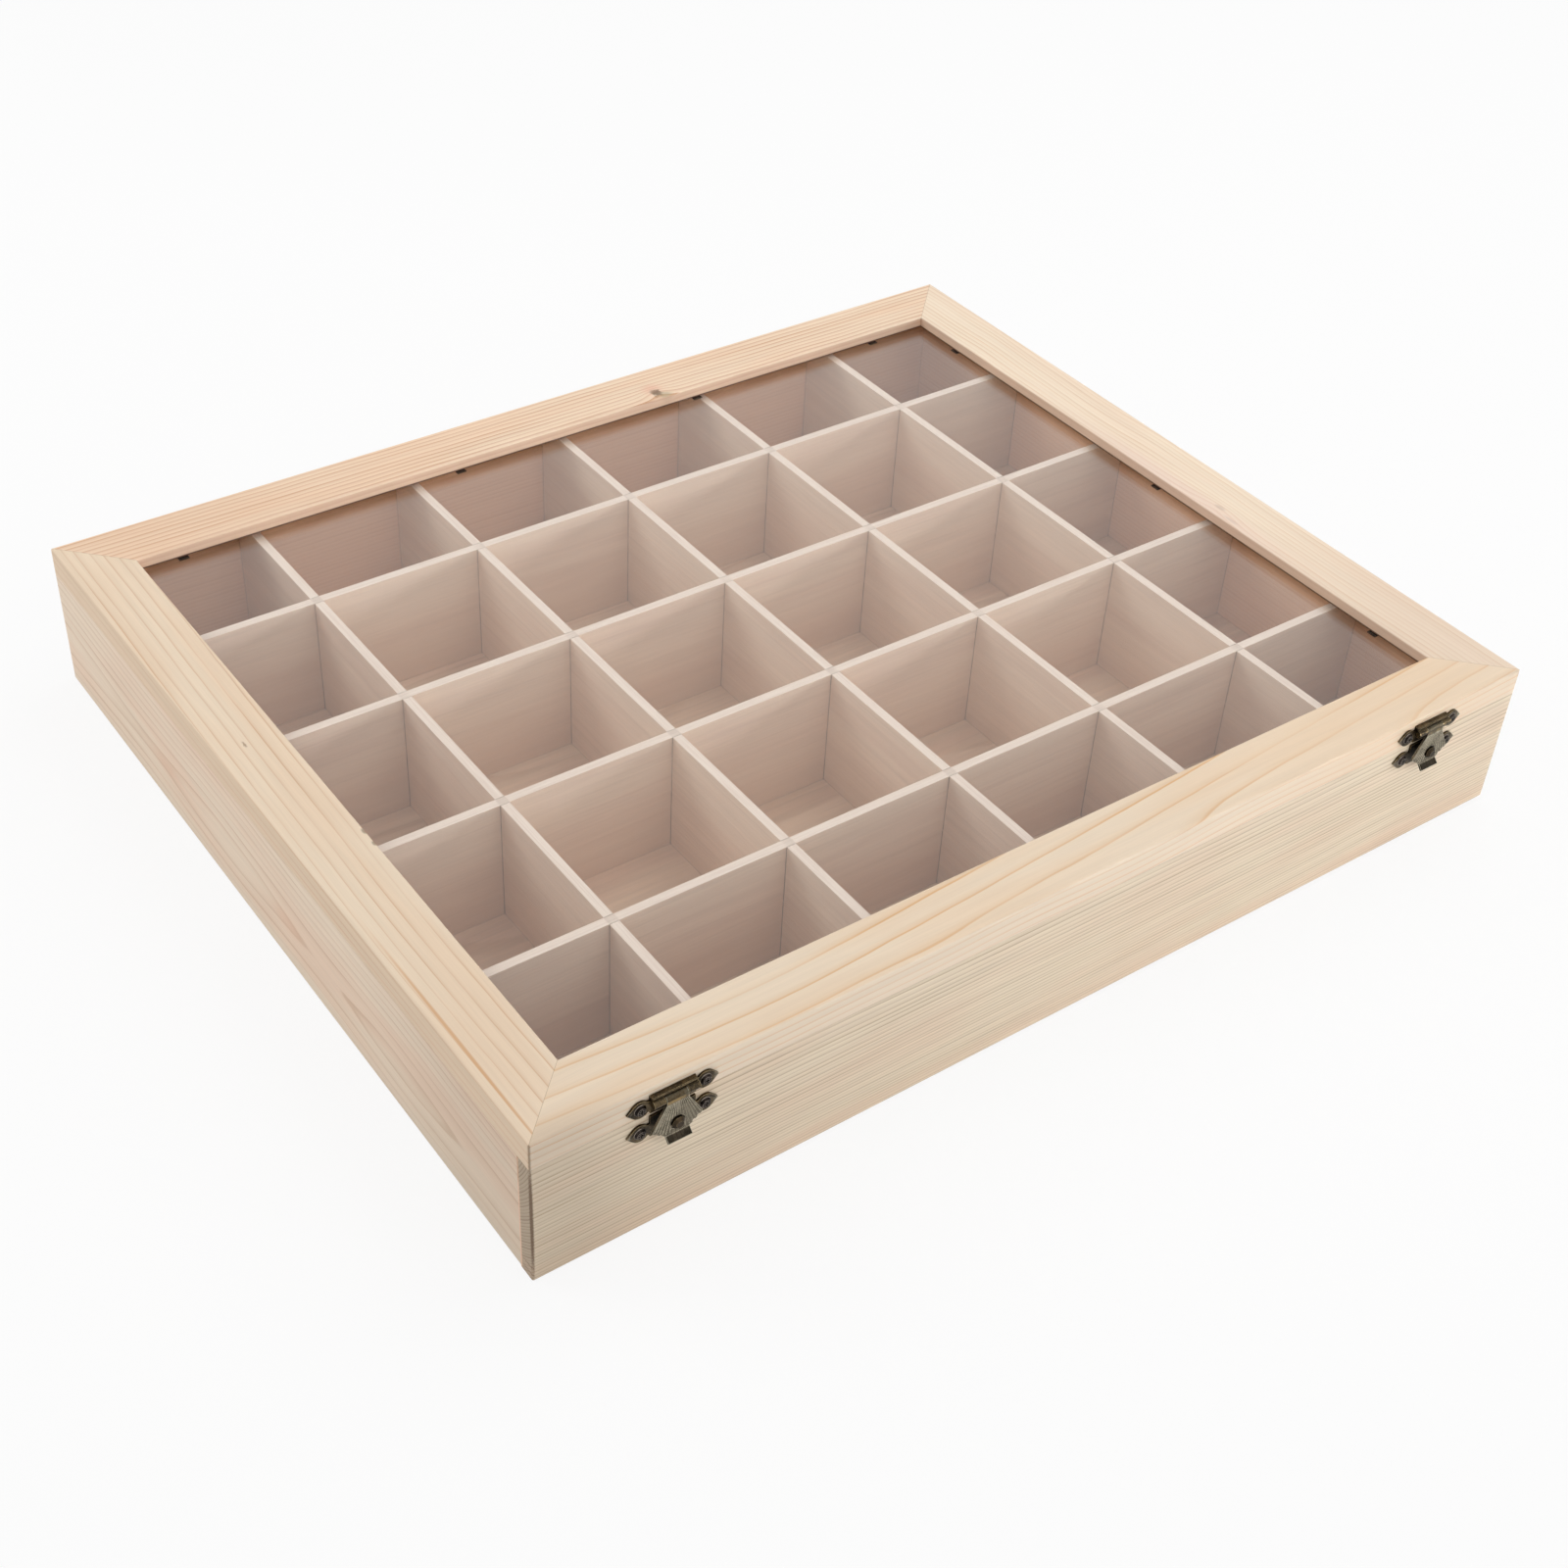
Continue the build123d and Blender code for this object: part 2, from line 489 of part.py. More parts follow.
hinge_lid_screws = []
hinge_box_screws = []
HINGE_SIDES = (("left", -BOX_LENGTH / 2 + HINGE_INSET), ("right", BOX_LENGTH / 2 - HINGE_INSET))
for side_name, x in HINGE_SIDES:
    place = on_back(x)
    lid_leaf = hinge_leaf(1, LID_LEAF_HEIGHT, INNER_ZONES,
                          HINGE_PIN_RADIUS + HINGE_PIN_CLEARANCE, LID_LEAF_SCREW)
    box_leaf = hinge_leaf(-1, BOX_LEAF_HEIGHT, END_ZONES, HINGE_PIN_RADIUS, -BOX_LEAF_SCREW)
    pin = rod(-HINGE_HALF_WIDTH, HINGE_HALF_WIDTH, 0, hinge_axis_out, HINGE_PIN_RADIUS)
    nodes[side_name + "_hinge_lid_leaf"] = place * lid_leaf
    nodes[side_name + "_hinge_box_leaf"] = place * box_leaf
    nodes[side_name + "_hinge_pin"] = place * pin
    for reach in (-LEAF_SCREW_REACH, LEAF_SCREW_REACH):
        nodes["lid_rail_back"] -= place * screw_hole(reach, LID_LEAF_SCREW, HINGE_SHEET)
        nodes["back_wall"] -= place * screw_hole(reach, -BOX_LEAF_SCREW, HINGE_SHEET)
        hinge_lid_screws.append(place * screw_on_sheet(reach, LID_LEAF_SCREW, HINGE_SHEET))
        hinge_box_screws.append(place * screw_on_sheet(reach, -BOX_LEAF_SCREW, HINGE_SHEET))
nodes["hinge_lid_screws"] = Compound(children=hinge_lid_screws)
nodes["hinge_box_screws"] = Compound(children=hinge_box_screws)

# ---- One STEP file for each node ----
os.makedirs("parts", exist_ok=True)
for node_name, solid in nodes.items():
    export_step(solid, "parts/" + node_name + ".step")
print("seam height %.2f, rail width %.2f, %d nodes" % (seam, rail_width, len(nodes)))
print("lid hinge axis y %.3f z %.3f" % (BOX_DEPTH / 2 + hinge_axis_out, seam))
print("latch axis y %.3f z %.3f" % (-BOX_DEPTH / 2 - LATCH_AXIS_OUT, seam + LATCH_AXIS_RISE))
print("pitches %.3f by %.3f, divider top %.2f" % (column_pitch, row_pitch, divider_top))
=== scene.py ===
# %% [markdown]
# # A pine collector's box, dressed
# The box is a tray of thin pine boards with a grid of dividers, under a mitred lid with a
# pane of glass. Its solids come ready made, at their real size. This file gives every one
# of them its finish, adds the few things too fine to be solids, and sets up a small studio.
#
# We load the solids first. Each keeps its place in its own mesh, so a point of a material's
# Object coordinates is a point of the box, in metres, and stays with the piece when the lid
# or a latch moves. That is what lets wood grain be written as a formula of place.

# %% Load the solids
import math

import bpy
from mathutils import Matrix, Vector


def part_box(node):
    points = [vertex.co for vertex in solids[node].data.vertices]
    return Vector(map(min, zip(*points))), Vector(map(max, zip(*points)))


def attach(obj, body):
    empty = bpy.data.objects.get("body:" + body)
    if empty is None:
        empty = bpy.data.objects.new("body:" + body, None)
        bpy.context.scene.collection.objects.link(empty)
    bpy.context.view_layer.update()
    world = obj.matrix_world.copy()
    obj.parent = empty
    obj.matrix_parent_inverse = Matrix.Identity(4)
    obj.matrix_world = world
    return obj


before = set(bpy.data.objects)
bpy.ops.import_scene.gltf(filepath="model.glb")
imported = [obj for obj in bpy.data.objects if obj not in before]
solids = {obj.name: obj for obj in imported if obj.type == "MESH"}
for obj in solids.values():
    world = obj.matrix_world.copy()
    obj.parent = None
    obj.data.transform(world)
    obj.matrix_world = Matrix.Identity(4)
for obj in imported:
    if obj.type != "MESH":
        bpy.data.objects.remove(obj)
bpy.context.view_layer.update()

# %% [markdown]
# ## Measures
# Everything below is placed from the solids' own corners, so nothing here repeats the
# drawing. The boards are described in millimetres, because wood is: growth rings lie one to
# three millimetres apart, and a fibre is a tenth of one.

# %% Measures taken from the solids
MM = 0.001
PER_METRE = 1000.0


def corners(name):
    """The lowest and highest corners of a solid, in millimetres."""
    low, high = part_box(name)
    return low * PER_METRE, high * PER_METRE


tray_low, tray_high = corners("front_wall")
lid_high = corners("lid_rail_front")[1]
left_edge, right_edge = tray_low.x, tray_high.x
front_face = tray_low.y
back_face = corners("back_wall")[1].y
seam = tray_high.z
lid_top = lid_high.z
wall = tray_high.y - tray_low.y
glass_low, glass_high = corners("glass_pane")
lip_front, lip_back = lid_high.y, -lid_high.y
lip_left = corners("lid_rail_left")[1].x
lip_right = -lip_left
rail_across = lip_left - left_edge
print("seam %.2f, lid top %.2f, wall %.2f, lip at %.1f" % (seam, lid_top, wall, lip_left))

# %% [markdown]
# ## The camera
# A product is usually shot from a little above, turned so that two sides show, with a lens
# of about 50 mm so that its edges converge gently. The camera stands off the front left
# corner. We give it a place and the two directions that fix how it is held: where it looks
# and which way is up for it.

# %% Camera
CAMERA_PLACE = Vector((-0.41354, -0.54448, 0.54074))
LOOKS_ALONG = Vector((0.47162, 0.60993, -0.63683))
HELD_UP = Vector((0.34046, 0.54025, 0.76956))
LENS = 51.68
SENSOR = 36.0

camera_data = bpy.data.cameras.new("camera")
camera_data.lens = LENS
camera_data.sensor_width = SENSOR
camera = bpy.data.objects.new("camera", camera_data)
bpy.context.scene.collection.objects.link(camera)
sideways = LOOKS_ALONG.cross(HELD_UP).normalized()
upright = sideways.cross(LOOKS_ALONG).normalized()
camera_turn = camera.matrix_world.to_3x3()
for row in range(3):
    camera_turn[row] = (sideways[row], upright[row], -LOOKS_ALONG.normalized()[row])
camera.matrix_world = camera_turn.to_4x4()
camera.location = CAMERA_PLACE
bpy.context.scene.camera = camera
print("camera looks down by %.1f degrees" % math.degrees(math.asin(-LOOKS_ALONG.z)))

# %% [markdown]
# ## Shader maths
# A pattern such as a growth ring is arithmetic on the place of a point: distances, remainders
# and waves. Wiring that by hand takes dozens of Math nodes. A small class makes it readable:
# it wraps one output socket, and +, -, * and / on it add the Math nodes for us, also when
# the plain number comes first. Colours and vectors must not go through Math, which would
# turn them grey, so they get a Mix or Vector Math node of their own.

# %% A number that changes over the surface
class Number:
    """One output socket of a finish, with arithmetic that adds Math nodes."""

    def __init__(self, finish, socket):
        self.finish = finish
        self.socket = socket

    def math(self, operation, *values):
        return self.finish.node("ShaderNodeMath", {"operation": operation}, dict(enumerate(values)))

    def __add__(self, other):
        return self.math("ADD", self, other)

    __radd__ = __add__

    def __sub__(self, other):
        return self.math("SUBTRACT", self, other)

    def __rsub__(self, other):
        return self.math("SUBTRACT", other, self)

    def __mul__(self, other):
        return self.math("MULTIPLY", self, other)

    __rmul__ = __mul__

    def __truediv__(self, other):
        return self.math("DIVIDE", self, other)

    def __pow__(self, other):
        return self.math("POWER", self, other)

    def __neg__(self):
        return self.math("MULTIPLY", self, -1.0)

    def whole(self):
        return self.math("FLOOR", self)

    def rest(self):
        return self.math("FRACT", self)

    def size(self):
        return self.math("ABSOLUTE", self)

    def at_most(self, other):
        return self.math("MINIMUM", self, other)

    def at_least(self, other):
        return self.math("MAXIMUM", self, other)

    def step(self, start, end, low=0.0, high=1.0):
        """Eases from low at start to high at end, and stays there."""
        settings = {"interpolation_type": "SMOOTHSTEP"}
        return self.finish.node("ShaderNodeMapRange", settings,
                                {0: self, 1: start, 2: end, 3: low, 4: high})

# %% [markdown]
# Screens brighten dark levels, so a colour picked on screen isn't yet the light that a shader adds
# up. Every colour below is written as a screen shows it, and turned into light here.

# %% Colours
def linear(red, green, blue):
    """A colour as a screen shows it, 0 to 255, as the linear light that a shader works in."""
    def one(level):
        share = level / 255
        return share / 12.92 if share <= 0.04045 else ((share + 0.055) / 1.055) ** 2.4
    return (one(red), one(green), one(blue), 1.0)


print("half grey on screen is %.2f of full light" % linear(128, 128, 128)[0])

# %% [markdown]
# A finish is one material. All its nodes are made in one place, which sets a node up before
# it fills the sockets, because some settings change what sockets there are.

# %% A finish: one material and its nodes
COLOUR_SOCKETS = {"factor": 0, "first": 6, "second": 7, "result": 2}


class Finish:
    """One material, or the room's, with the few ways in which this file adds nodes."""

    def __init__(self, name, room=None):
        self.material = room or bpy.data.materials.new(name)
        self.material.use_nodes = True
        self.tree = self.material.node_tree
        self.tree.nodes.clear()

    def node(self, kind, settings=None, values=None, output=0):
        """Adds a node: its settings first, then the values or links of its sockets."""
        made = self.tree.nodes.new(kind)
        for name, setting in (settings or {}).items():
            if name == "stops":
                self.set_stops(made.color_ramp, setting)
            else:
                setattr(made, name, setting)
        for key, value in (values or {}).items():
            if isinstance(value, Number):
                self.tree.links.new(value.socket, made.inputs[key])
            else:
                made.inputs[key].default_value = value
        return Number(self, made.outputs[output])

    def set_stops(self, ramp, stops):
        """Gives a colour ramp its stops, each a position and a grey level."""
        while len(ramp.elements) < len(stops):
            ramp.elements.new(1.0)
        for element, (position, level) in zip(ramp.elements, stops):
            element.position = position
            element.color = (level, level, level, 1.0)

    def place(self):
        """The place of a point on the box, as three Numbers in millimetres."""
        spot = self.node("ShaderNodeTexCoord", output=3)
        axes = [self.node("ShaderNodeSeparateXYZ", values={0: spot}, output=i) for i in range(3)]
        return [axis * PER_METRE for axis in axes]

    def facing(self, axis):
        """How squarely the surface faces along one axis of the piece, 0 to 1."""
        direction = self.node("ShaderNodeTexCoord", output=1)
        return self.node("ShaderNodeSeparateXYZ", values={0: direction}, output=axis).size()

    def join(self, x, y, z):
        return self.node("ShaderNodeCombineXYZ", values={0: x, 1: y, 2: z})

    def noise(self, x, y, z, detail=2.0, roughness=0.5):
        """A soft random level about 0.5, that changes over about one unit of x, y and z."""
        values = {"Vector": self.join(x, y, z), "Scale": 1.0, "Detail": detail,
                  "Roughness": roughness}
        return self.node("ShaderNodeTexNoise", values=values)

    def blend(self, factor, first, second, way="MIX"):
        """A colour between two, or the first one changed by the second."""
        at = COLOUR_SOCKETS
        settings = {"data_type": "RGBA", "blend_type": way}
        values = {at["factor"]: factor, at["first"]: first, at["second"]: second}
        return self.node("ShaderNodeMix", settings, values, output=at["result"])

    def surface(self, values):
        """Ends the finish in one Principled shader."""
        self.end_in(self.node("ShaderNodeBsdfPrincipled", values=values))

    def end_in(self, shader, kind="ShaderNodeOutputMaterial"):
        end = self.tree.nodes.new(kind)
        self.tree.links.new(shader.socket, end.inputs["Surface"])

# %% [markdown]
# ## Pine
# A board is a slice of a log, and its pattern is where the growth rings meet its faces. So
# we don't draw lines on the faces: we write the rings through the whole board, and every
# face, edge and end then agrees with the others. Each ring grows slowly from pale spring
# wood to a thin dark line of summer wood and stops sharply, which is a colour ramp over the
# rest of distance / ring width.
#
# Where the middle of the log lay decides the pattern. Far off to the side it gives straight
# lines, close behind the face it gives wide tongues. A trunk isn't a pipe either: bends push
# the rings in or out over a stretch of the board, and make the eyes and arches of flat-sawn
# wood. A little noise does the rest.

# %% One ring, and the bends of a trunk
def ring_stops(line):
    """Pale spring wood, then a dark line, written as its share of the ring."""
    return [(0.0, 0.0), (max(0.04, 1 - 5 * line), 0.05), (1 - 1.8 * line, 0.38),
            (1 - 0.85 * line, 1.0), (1 - 0.35 * line, 0.95), (1.0, 0.0)]


def bell(finish, value, width):
    """A smooth bump: 1 where the value is 0, and nearly 0 past twice the width."""
    share = value / width
    return finish.node("ShaderNodeMath", {"operation": "POWER"}, {0: math.e, 1: -(share * share)})


def bent(finish, along, across, bends):
    """How far the bends of a trunk push the rings at a point, in millimetres."""
    pushed = along * 0.0
    for bend in bends:
        hump = bell(finish, along - bend["at"], bend["long"])
        if "across" in bend:
            hump = hump * bell(finish, across - bend["across"], bend["wide"])
        pushed = pushed + hump * bend["push"]
    return pushed


print("stops of a ring with a dark fifth:", [round(stop, 2) for stop, _ in ring_stops(0.2)])

# %% [markdown]
# A cut is a small table that tells how one board lay in its log. In it, ring is the width of
# a ring, and turn and far say where the middle of the log was: in which direction, in
# degrees from across the board, and how far off. bends and sag push the rings over a
# stretch, wave, ripple and uneven disturb them, and line and faintest say how much of a ring
# is dark and how weak its line may get.

# %% Growth rings through a board
WAVE_WIDTH = 40.0           # how far across a board the slow waves of its rings reach
RIPPLE_LENGTH, RIPPLE_WIDTH = 22.0, 6.0
LINE_LENGTH = 90.0          # over what length a line grows fainter or stronger
STRONGEST = 1.15


def hypotenuse(one, other):
    """The length of the long side over two Numbers."""
    return (one * one + other * other) ** 0.5


def rings(finish, along, across, deep, cut):
    """How much summer wood shows at a point of a board, 0 for none."""
    turn = math.radians(cut["turn"])
    far = cut["far"]
    seed = cut["seed"]
    from_middle = hypotenuse(across + far * math.cos(turn), deep + far * math.sin(turn))
    distance = from_middle - far + cut.get("shift", 0.0)
    if "bends" in cut:
        distance = distance + bent(finish, along, across, cut["bends"])
    if "sag" in cut:
        sag = cut["sag"]
        away = hypotenuse(along - sag["at"], sag["soft"]) - sag["soft"]
        distance = distance + away * sag["slope"]
    wave = finish.noise(along / cut["wave_length"], across / WAVE_WIDTH + seed,
                        deep / WAVE_WIDTH, 1.0)
    ripple = finish.noise(along / RIPPLE_LENGTH + seed, across / RIPPLE_WIDTH,
                          deep / RIPPLE_WIDTH, 2.0)
    distance = distance + (wave - 0.5) * (2 * cut["wave"]) + (ripple - 0.5) * cut["ripple"]
    count = distance / cut["ring"]
    if "uneven" in cut:
        count = count + (finish.noise(count * 0.55 + seed, 0.0, 0.0, 1.0) - 0.5) * cut["uneven"]
    shade = finish.node("ShaderNodeValToRGB", {"stops": ring_stops(cut["line"])}, {0: count.rest()})
    strength = finish.noise(count.whole() * 0.73 + seed, along / LINE_LENGTH, 0.0, 1.0)
    return shade * strength.step(0.25, 0.75, cut["faintest"], STRONGEST)

# %% [markdown]
# Between the rings runs the fine grain: fibres a tenth of a millimetre wide and centimetres
# long. Noise that is squeezed across the board and stretched along it gives them. A second,
# wide noise lets the board drift between cream and peach, and short dark dashes are the
# resin canals. End grain drinks light, so faces that look along the grain are darker. The
# tones of a board name its colours, and how strongly each of these shows.
#
# Where two pieces meet, the colour is darkened with a line of painted shade. The Ambient Occlusion
# node finds such places by itself, also when the lid opens and the place is gone.

# %% The colour of a board
END_GRAIN = linear(196, 177, 152)
END_CONTRAST = 0.75
FIBRE = (0.28, 26.0)        # the width and length of each kind of streak
HAIR = (0.75, 48.0)
BAND = (2.8, 70.0)
CANAL = (0.42, 5.0)
DRIFT_LENGTH, DRIFT_WIDTH = 95.0, 16.0


def fibres(finish, spot, streak, seed):
    """Fine streaks along the grain, about 0.5."""
    along, across, deep = spot
    width, length = streak
    return finish.noise(along / length + seed, across / width, deep / width, 3.0, 0.6)


def board_colour(finish, spot, grain_axis, cut, tones):
    """The colour of a board at a spot along, across and deep, its fibres and its rings."""
    along, across, deep = spot
    seed = cut["seed"]
    summer = rings(finish, along, across, deep, cut)
    fine = fibres(finish, spot, FIBRE, seed)
    hairs = fibres(finish, spot, HAIR, seed + 5.2)
    broad = fibres(finish, spot, BAND, seed + 3.1)
    drift = finish.noise(along / DRIFT_LENGTH + seed, across / DRIFT_WIDTH,
                         deep / DRIFT_WIDTH, 2.0)
    ground = finish.blend(drift.step(0.38, 0.66), tones["spring"], tones["blush"])
    if "side" in tones:
        ground = finish.blend(finish.facing(2).step(0.6, 0.9), tones["side"], ground)
    lined = finish.blend((summer * tones["contrast"]).at_most(1.0), ground, tones["summer"])
    level = fine.step(0.36, 0.68, 1.0 - tones["streak"], 1.0 + tones["streak"])
    level = level * hairs.step(0.34, 0.5, 1.0 - tones["hair"], 1.0)
    level = level * broad.step(0.3, 0.7, 1.0 - tones["band"], 1.0 + tones["band"])
    canals = fibres(finish, spot, CANAL, seed + 7.7).step(0.66, 0.76)
    level = level * (1.0 - canals * tones["canal"])
    coloured = finish.blend(1.0, lined, finish.join(level, level, level), "MULTIPLY")
    end = finish.facing(grain_axis).step(0.75, 0.95)
    end_lined = finish.blend((summer * END_CONTRAST).at_most(1.0), END_GRAIN, tones["end_line"])
    return finish.blend(end, coloured, end_lined), fine, summer

# %% Marks in the wood
CRISP = (0.3, 0.9)          # how far up its bump a crisp mark's edge starts and is full


def mark(along, across, size, tone, amount, **more):
    """A knot, dash or stain: its middle, its reach along and across, and its colour.

    deep is its reach into the board, edge makes it crisp, and ragged tells how far its
    outline strays."""
    return dict(more, along=along, across=across, size=size, tone=tone, amount=amount)


def marked(finish, colour, spot, marks):
    """Adds these marks to a colour, each an oval spot."""
    along, across, deep = spot
    for one in marks:
        astray = 0.0
        if "ragged" in one:
            far = one["ragged"]
            astray = (finish.noise(along / far, across / far, deep / far, 2.0) - 0.5) * (2 * far)
        length, width = one["size"]
        shape = bell(finish, along - one["along"] + astray, length)
        shape = shape * bell(finish, across - one["across"] + astray, width)
        if "deep" in one:
            shape = shape * bell(finish, deep + astray, one["deep"])
        low, high = one.get("edge", (0.0, 1.0))
        colour = finish.blend(shape.step(low, high) * one["amount"], colour, one["tone"])
    return colour

# %% The sanded surface
RAY_SAMPLES = 6             # rays that feel for another surface, at each point
MEETING = 0.0009            # how near another piece has to be to leave its line, in metres
# In the line of painted shade where another piece is near, the wood keeps this much of its colour.
MEETING_LIGHT = 0.74        # how much of its colour the wood keeps in that line
FIBRE_RELIEF = 0.0002       # how high the fibres stand, in metres


def shade_within(finish, reach):
    """1 in the open, and darker where another surface is within this reach, in metres."""
    return finish.node("ShaderNodeAmbientOcclusion", {"samples": RAY_SAMPLES},
                       {"Distance": reach}, output=1)


def sanded(finish, colour, fine, summer, open_part=0.0):
    """Bare, finely sanded wood: dull, with fibres that catch a little light.

    open_part is where nothing meets the wood, from 0 to 1."""
    # Painted shade: the colour is darkened where another piece is near.
    open_air = shade_within(finish, MEETING)
    contact_shade = open_air.at_least(open_part).step(0.25, 0.75, MEETING_LIGHT, 1.0)
    colour = finish.blend(1.0, colour, finish.join(contact_shade, contact_shade, contact_shade), "MULTIPLY")
    rough = fine.step(0.3, 0.7, 0.62, 0.5)
    relief = fine * 0.6 + summer * 0.4
    bumpy = finish.node("ShaderNodeBump", values={
        "Strength": 0.12, "Distance": FIBRE_RELIEF, "Height": relief})
    finish.surface({"Base Color": colour, "Roughness": rough, "Normal": bumpy,
                    "Specular IOR Level": 0.35})

# %% [markdown]
# ### The tray's walls
# The front board comes from near the middle of its log, which lay five centimetres behind its face
# and a little above it. On the face its rings are straight lines, one to three millimetres apart.
# On its end, seen at the corner of the box, they stand steep at the top and lean over further down.
# The left board is cut flat, a centimetre from the middle of its log, so it shows long eyes a
# little below half its height. Each board gets its own cut and seed, because no two are alike, and
# the left one its own tones.

# %% How each wall was cut
WALL_TONES = {
    "spring": linear(236, 221, 197), "blush": linear(235, 215, 191),
    "summer": linear(178, 152, 118), "end_line": linear(126, 104, 82),
    "contrast": 0.75, "streak": 0.035, "hair": 0.06, "band": 0.025, "canal": 0.08,
}
LEFT_TONES = dict(WALL_TONES, spring=linear(238, 218, 195), blush=linear(237, 210, 186),
                  summer=linear(190, 150, 114), contrast=0.6, streak=0.025, hair=0.035)
STEEP_CUT = {"ring": 1.3, "turn": 50.0, "far": 230.0, "wave": 0.6, "wave_length": 160.0,
             "ripple": 0.22, "uneven": 0.9, "line": 0.22, "faintest": 0.35}
FRONT_CUT = dict(STEEP_CUT, ring=1.05, turn=-66.5, far=54.0, seed=3.0, wave=0.4, uneven=0.6,
                 line=0.2, faintest=0.5, sag={"at": 40.0, "soft": 60.0, "slope": 0.006})
BACK_CUT = dict(STEEP_CUT, seed=11.0)
RIGHT_CUT = dict(STEEP_CUT, seed=17.0, turn=54.0, far=210.0)
EYES = [{"at": 32.0, "long": 50.0, "push": -2.43}, {"at": -95.0, "long": 39.0, "push": -1.44},
        {"at": 185.0, "long": 70.0, "push": -2.9}]
LEFT_CUT = {"ring": 3.2, "turn": 90.0, "far": 12.0, "shift": 3.75, "seed": 23.0, "wave": 0.35,
            "wave_length": 90.0, "ripple": 0.5, "uneven": 0.3, "line": 0.075, "faintest": 0.3,
            "bends": EYES}
LEFT_MIDDLE = 20.0          # height of the eyes above the underside
print("rings %.2f mm wide in front, %.2f at the left" % (FRONT_CUT["ring"], LEFT_CUT["ring"]))

# %% [markdown]
# A board also has a history. The front board's end was touched while the glue was wet, and kept a
# brown line at the corner and two small spots below it. Painted shade darkens both boards a little
# towards that corner, and paler or pinker patches run along them. All of these are marks: smooth
# bumps that blend in another colour.

# %% Marks on the walls
GLUE_STAIN = linear(96, 68, 44)
FRONT_MARKS = [
    mark(left_edge, 22.0, (0.8, 30.0), GLUE_STAIN, 0.85, deep=0.8, ragged=0.3, edge=(0.15, 0.6)),
    mark(left_edge, 43.5, (0.5, 0.5), GLUE_STAIN, 0.7, deep=8.0, ragged=0.6, edge=(0.3, 0.8)),
    mark(left_edge, 46.6, (0.5, 0.5), GLUE_STAIN, 0.7, deep=8.0, ragged=0.6, edge=(0.3, 0.8)),
    mark(0.0, 46.0, (900.0, 4.0), linear(230, 196, 170), 0.22),
    # Painted shade: the front board darkens towards the near corner.
    mark(left_edge, 24.0, (36.0, 90.0), linear(96, 64, 40), 0.19),
]
LEFT_MARKS = [
    mark(82.0, 29.0, (12.0, 4.5), linear(228, 182, 152), 0.3),
    mark(-16.0, 29.0, (11.0, 4.0), linear(228, 180, 150), 0.32),
    mark(0.0, 48.0, (900.0, 5.0), linear(232, 220, 200), 0.4),
    # Painted shade: the left board darkens towards the near corner.
    mark(front_face, 24.0, (75.0, 90.0), linear(116, 86, 56), 0.18),
]
print("marks on the walls:", len(FRONT_MARKS) + len(LEFT_MARKS))

# %% [markdown]
# Inside, the boards are rosier, and a band under the rim is browner with painted shade, where the
# lid's rails keep the light off. A board's place is measured along it, down from the seam and in
# from its outer face, so that one function serves all four.

# %% Walls
INNER_TONE, INNER_AMOUNT = linear(250, 205, 174), 0.75
# Painted shade: a browner band under the rim, and the wood under the glass.
PAINTED_UNDER_SHADE, SHADE_BAND_AMOUNT = linear(164, 114, 60), 0.5
SHADE_BAND_FULL, SHADE_BAND_END = 8.5, 12.5         # how far below the seam the brown band fades


def dress(names, finish):
    """Puts a finish on the slots of these solids."""
    for name in names:
        for slot in solids[name].material_slots:
            slot.material = finish.material
    print("%-16s %s" % (finish.material.name, ", ".join(names)))


def wall_spot(name, x, y, z):
    """A point as its place along, down and into a wall board."""
    into = {"front": y - front_face, "back": back_face - y, "left": x - left_edge,
            "right": right_edge - x}[name]
    return (x if name in ("front", "back") else y), seam - z, into


def wall_finish(name, cut, tones, marks=(), middle=0.0):
    """A wall board, with the middle of its figure so far below the seam."""
    finish = Finish(name + "_wall_pine")
    along, down, into = wall_spot(name, *finish.place())
    grain_axis = 0 if name in ("front", "back") else 1
    spot = (along, down - middle, into)
    colour, fine, summer = board_colour(finish, spot, grain_axis, cut, tones)
    colour = marked(finish, colour, (along, down, into), marks)
    inner = into.step(wall - 1.0, wall - 0.3)
    colour = finish.blend(inner * INNER_AMOUNT, colour, INNER_TONE)
    # Painted shade: the inner face browns in a band under the seam.
    brown = inner * down.step(SHADE_BAND_FULL, SHADE_BAND_END, SHADE_BAND_AMOUNT, 0.0)
    colour = finish.blend(brown, colour, PAINTED_UNDER_SHADE)
    sanded(finish, colour, fine, summer)
    dress([name + "_wall"], finish)


wall_finish("front", FRONT_CUT, WALL_TONES, FRONT_MARKS)
wall_finish("back", BACK_CUT, WALL_TONES)
wall_finish("right", RIGHT_CUT, WALL_TONES)
wall_finish("left", LEFT_CUT, LEFT_TONES, LEFT_MARKS, seam - LEFT_MIDDLE)

# %% [markdown]
# ### The lid's rails
# The rails are wider than they are thick and lie flat. The front one's rings lie nearly flat
# too: on top they come up as a few wide, soft orange arches, and on the outer edge as thin
# lines. The left one shows straight lines a few millimetres apart, and the two far ones,
# sawn from steep rings, a narrow comb of them.

# %% How each rail was cut
FRONT_RAIL_TONES = dict(WALL_TONES, spring=linear(239, 220, 196), blush=linear(238, 215, 188),
                        side=linear(237, 220, 198), summer=linear(222, 172, 114),
                        contrast=0.72, streak=0.014, hair=0.02, canal=0.04)
LEFT_RAIL_TONES = dict(FRONT_RAIL_TONES, spring=linear(239, 219, 194), blush=linear(237, 213, 186),
                       side=linear(228, 203, 175), summer=linear(202, 150, 102), contrast=0.64)
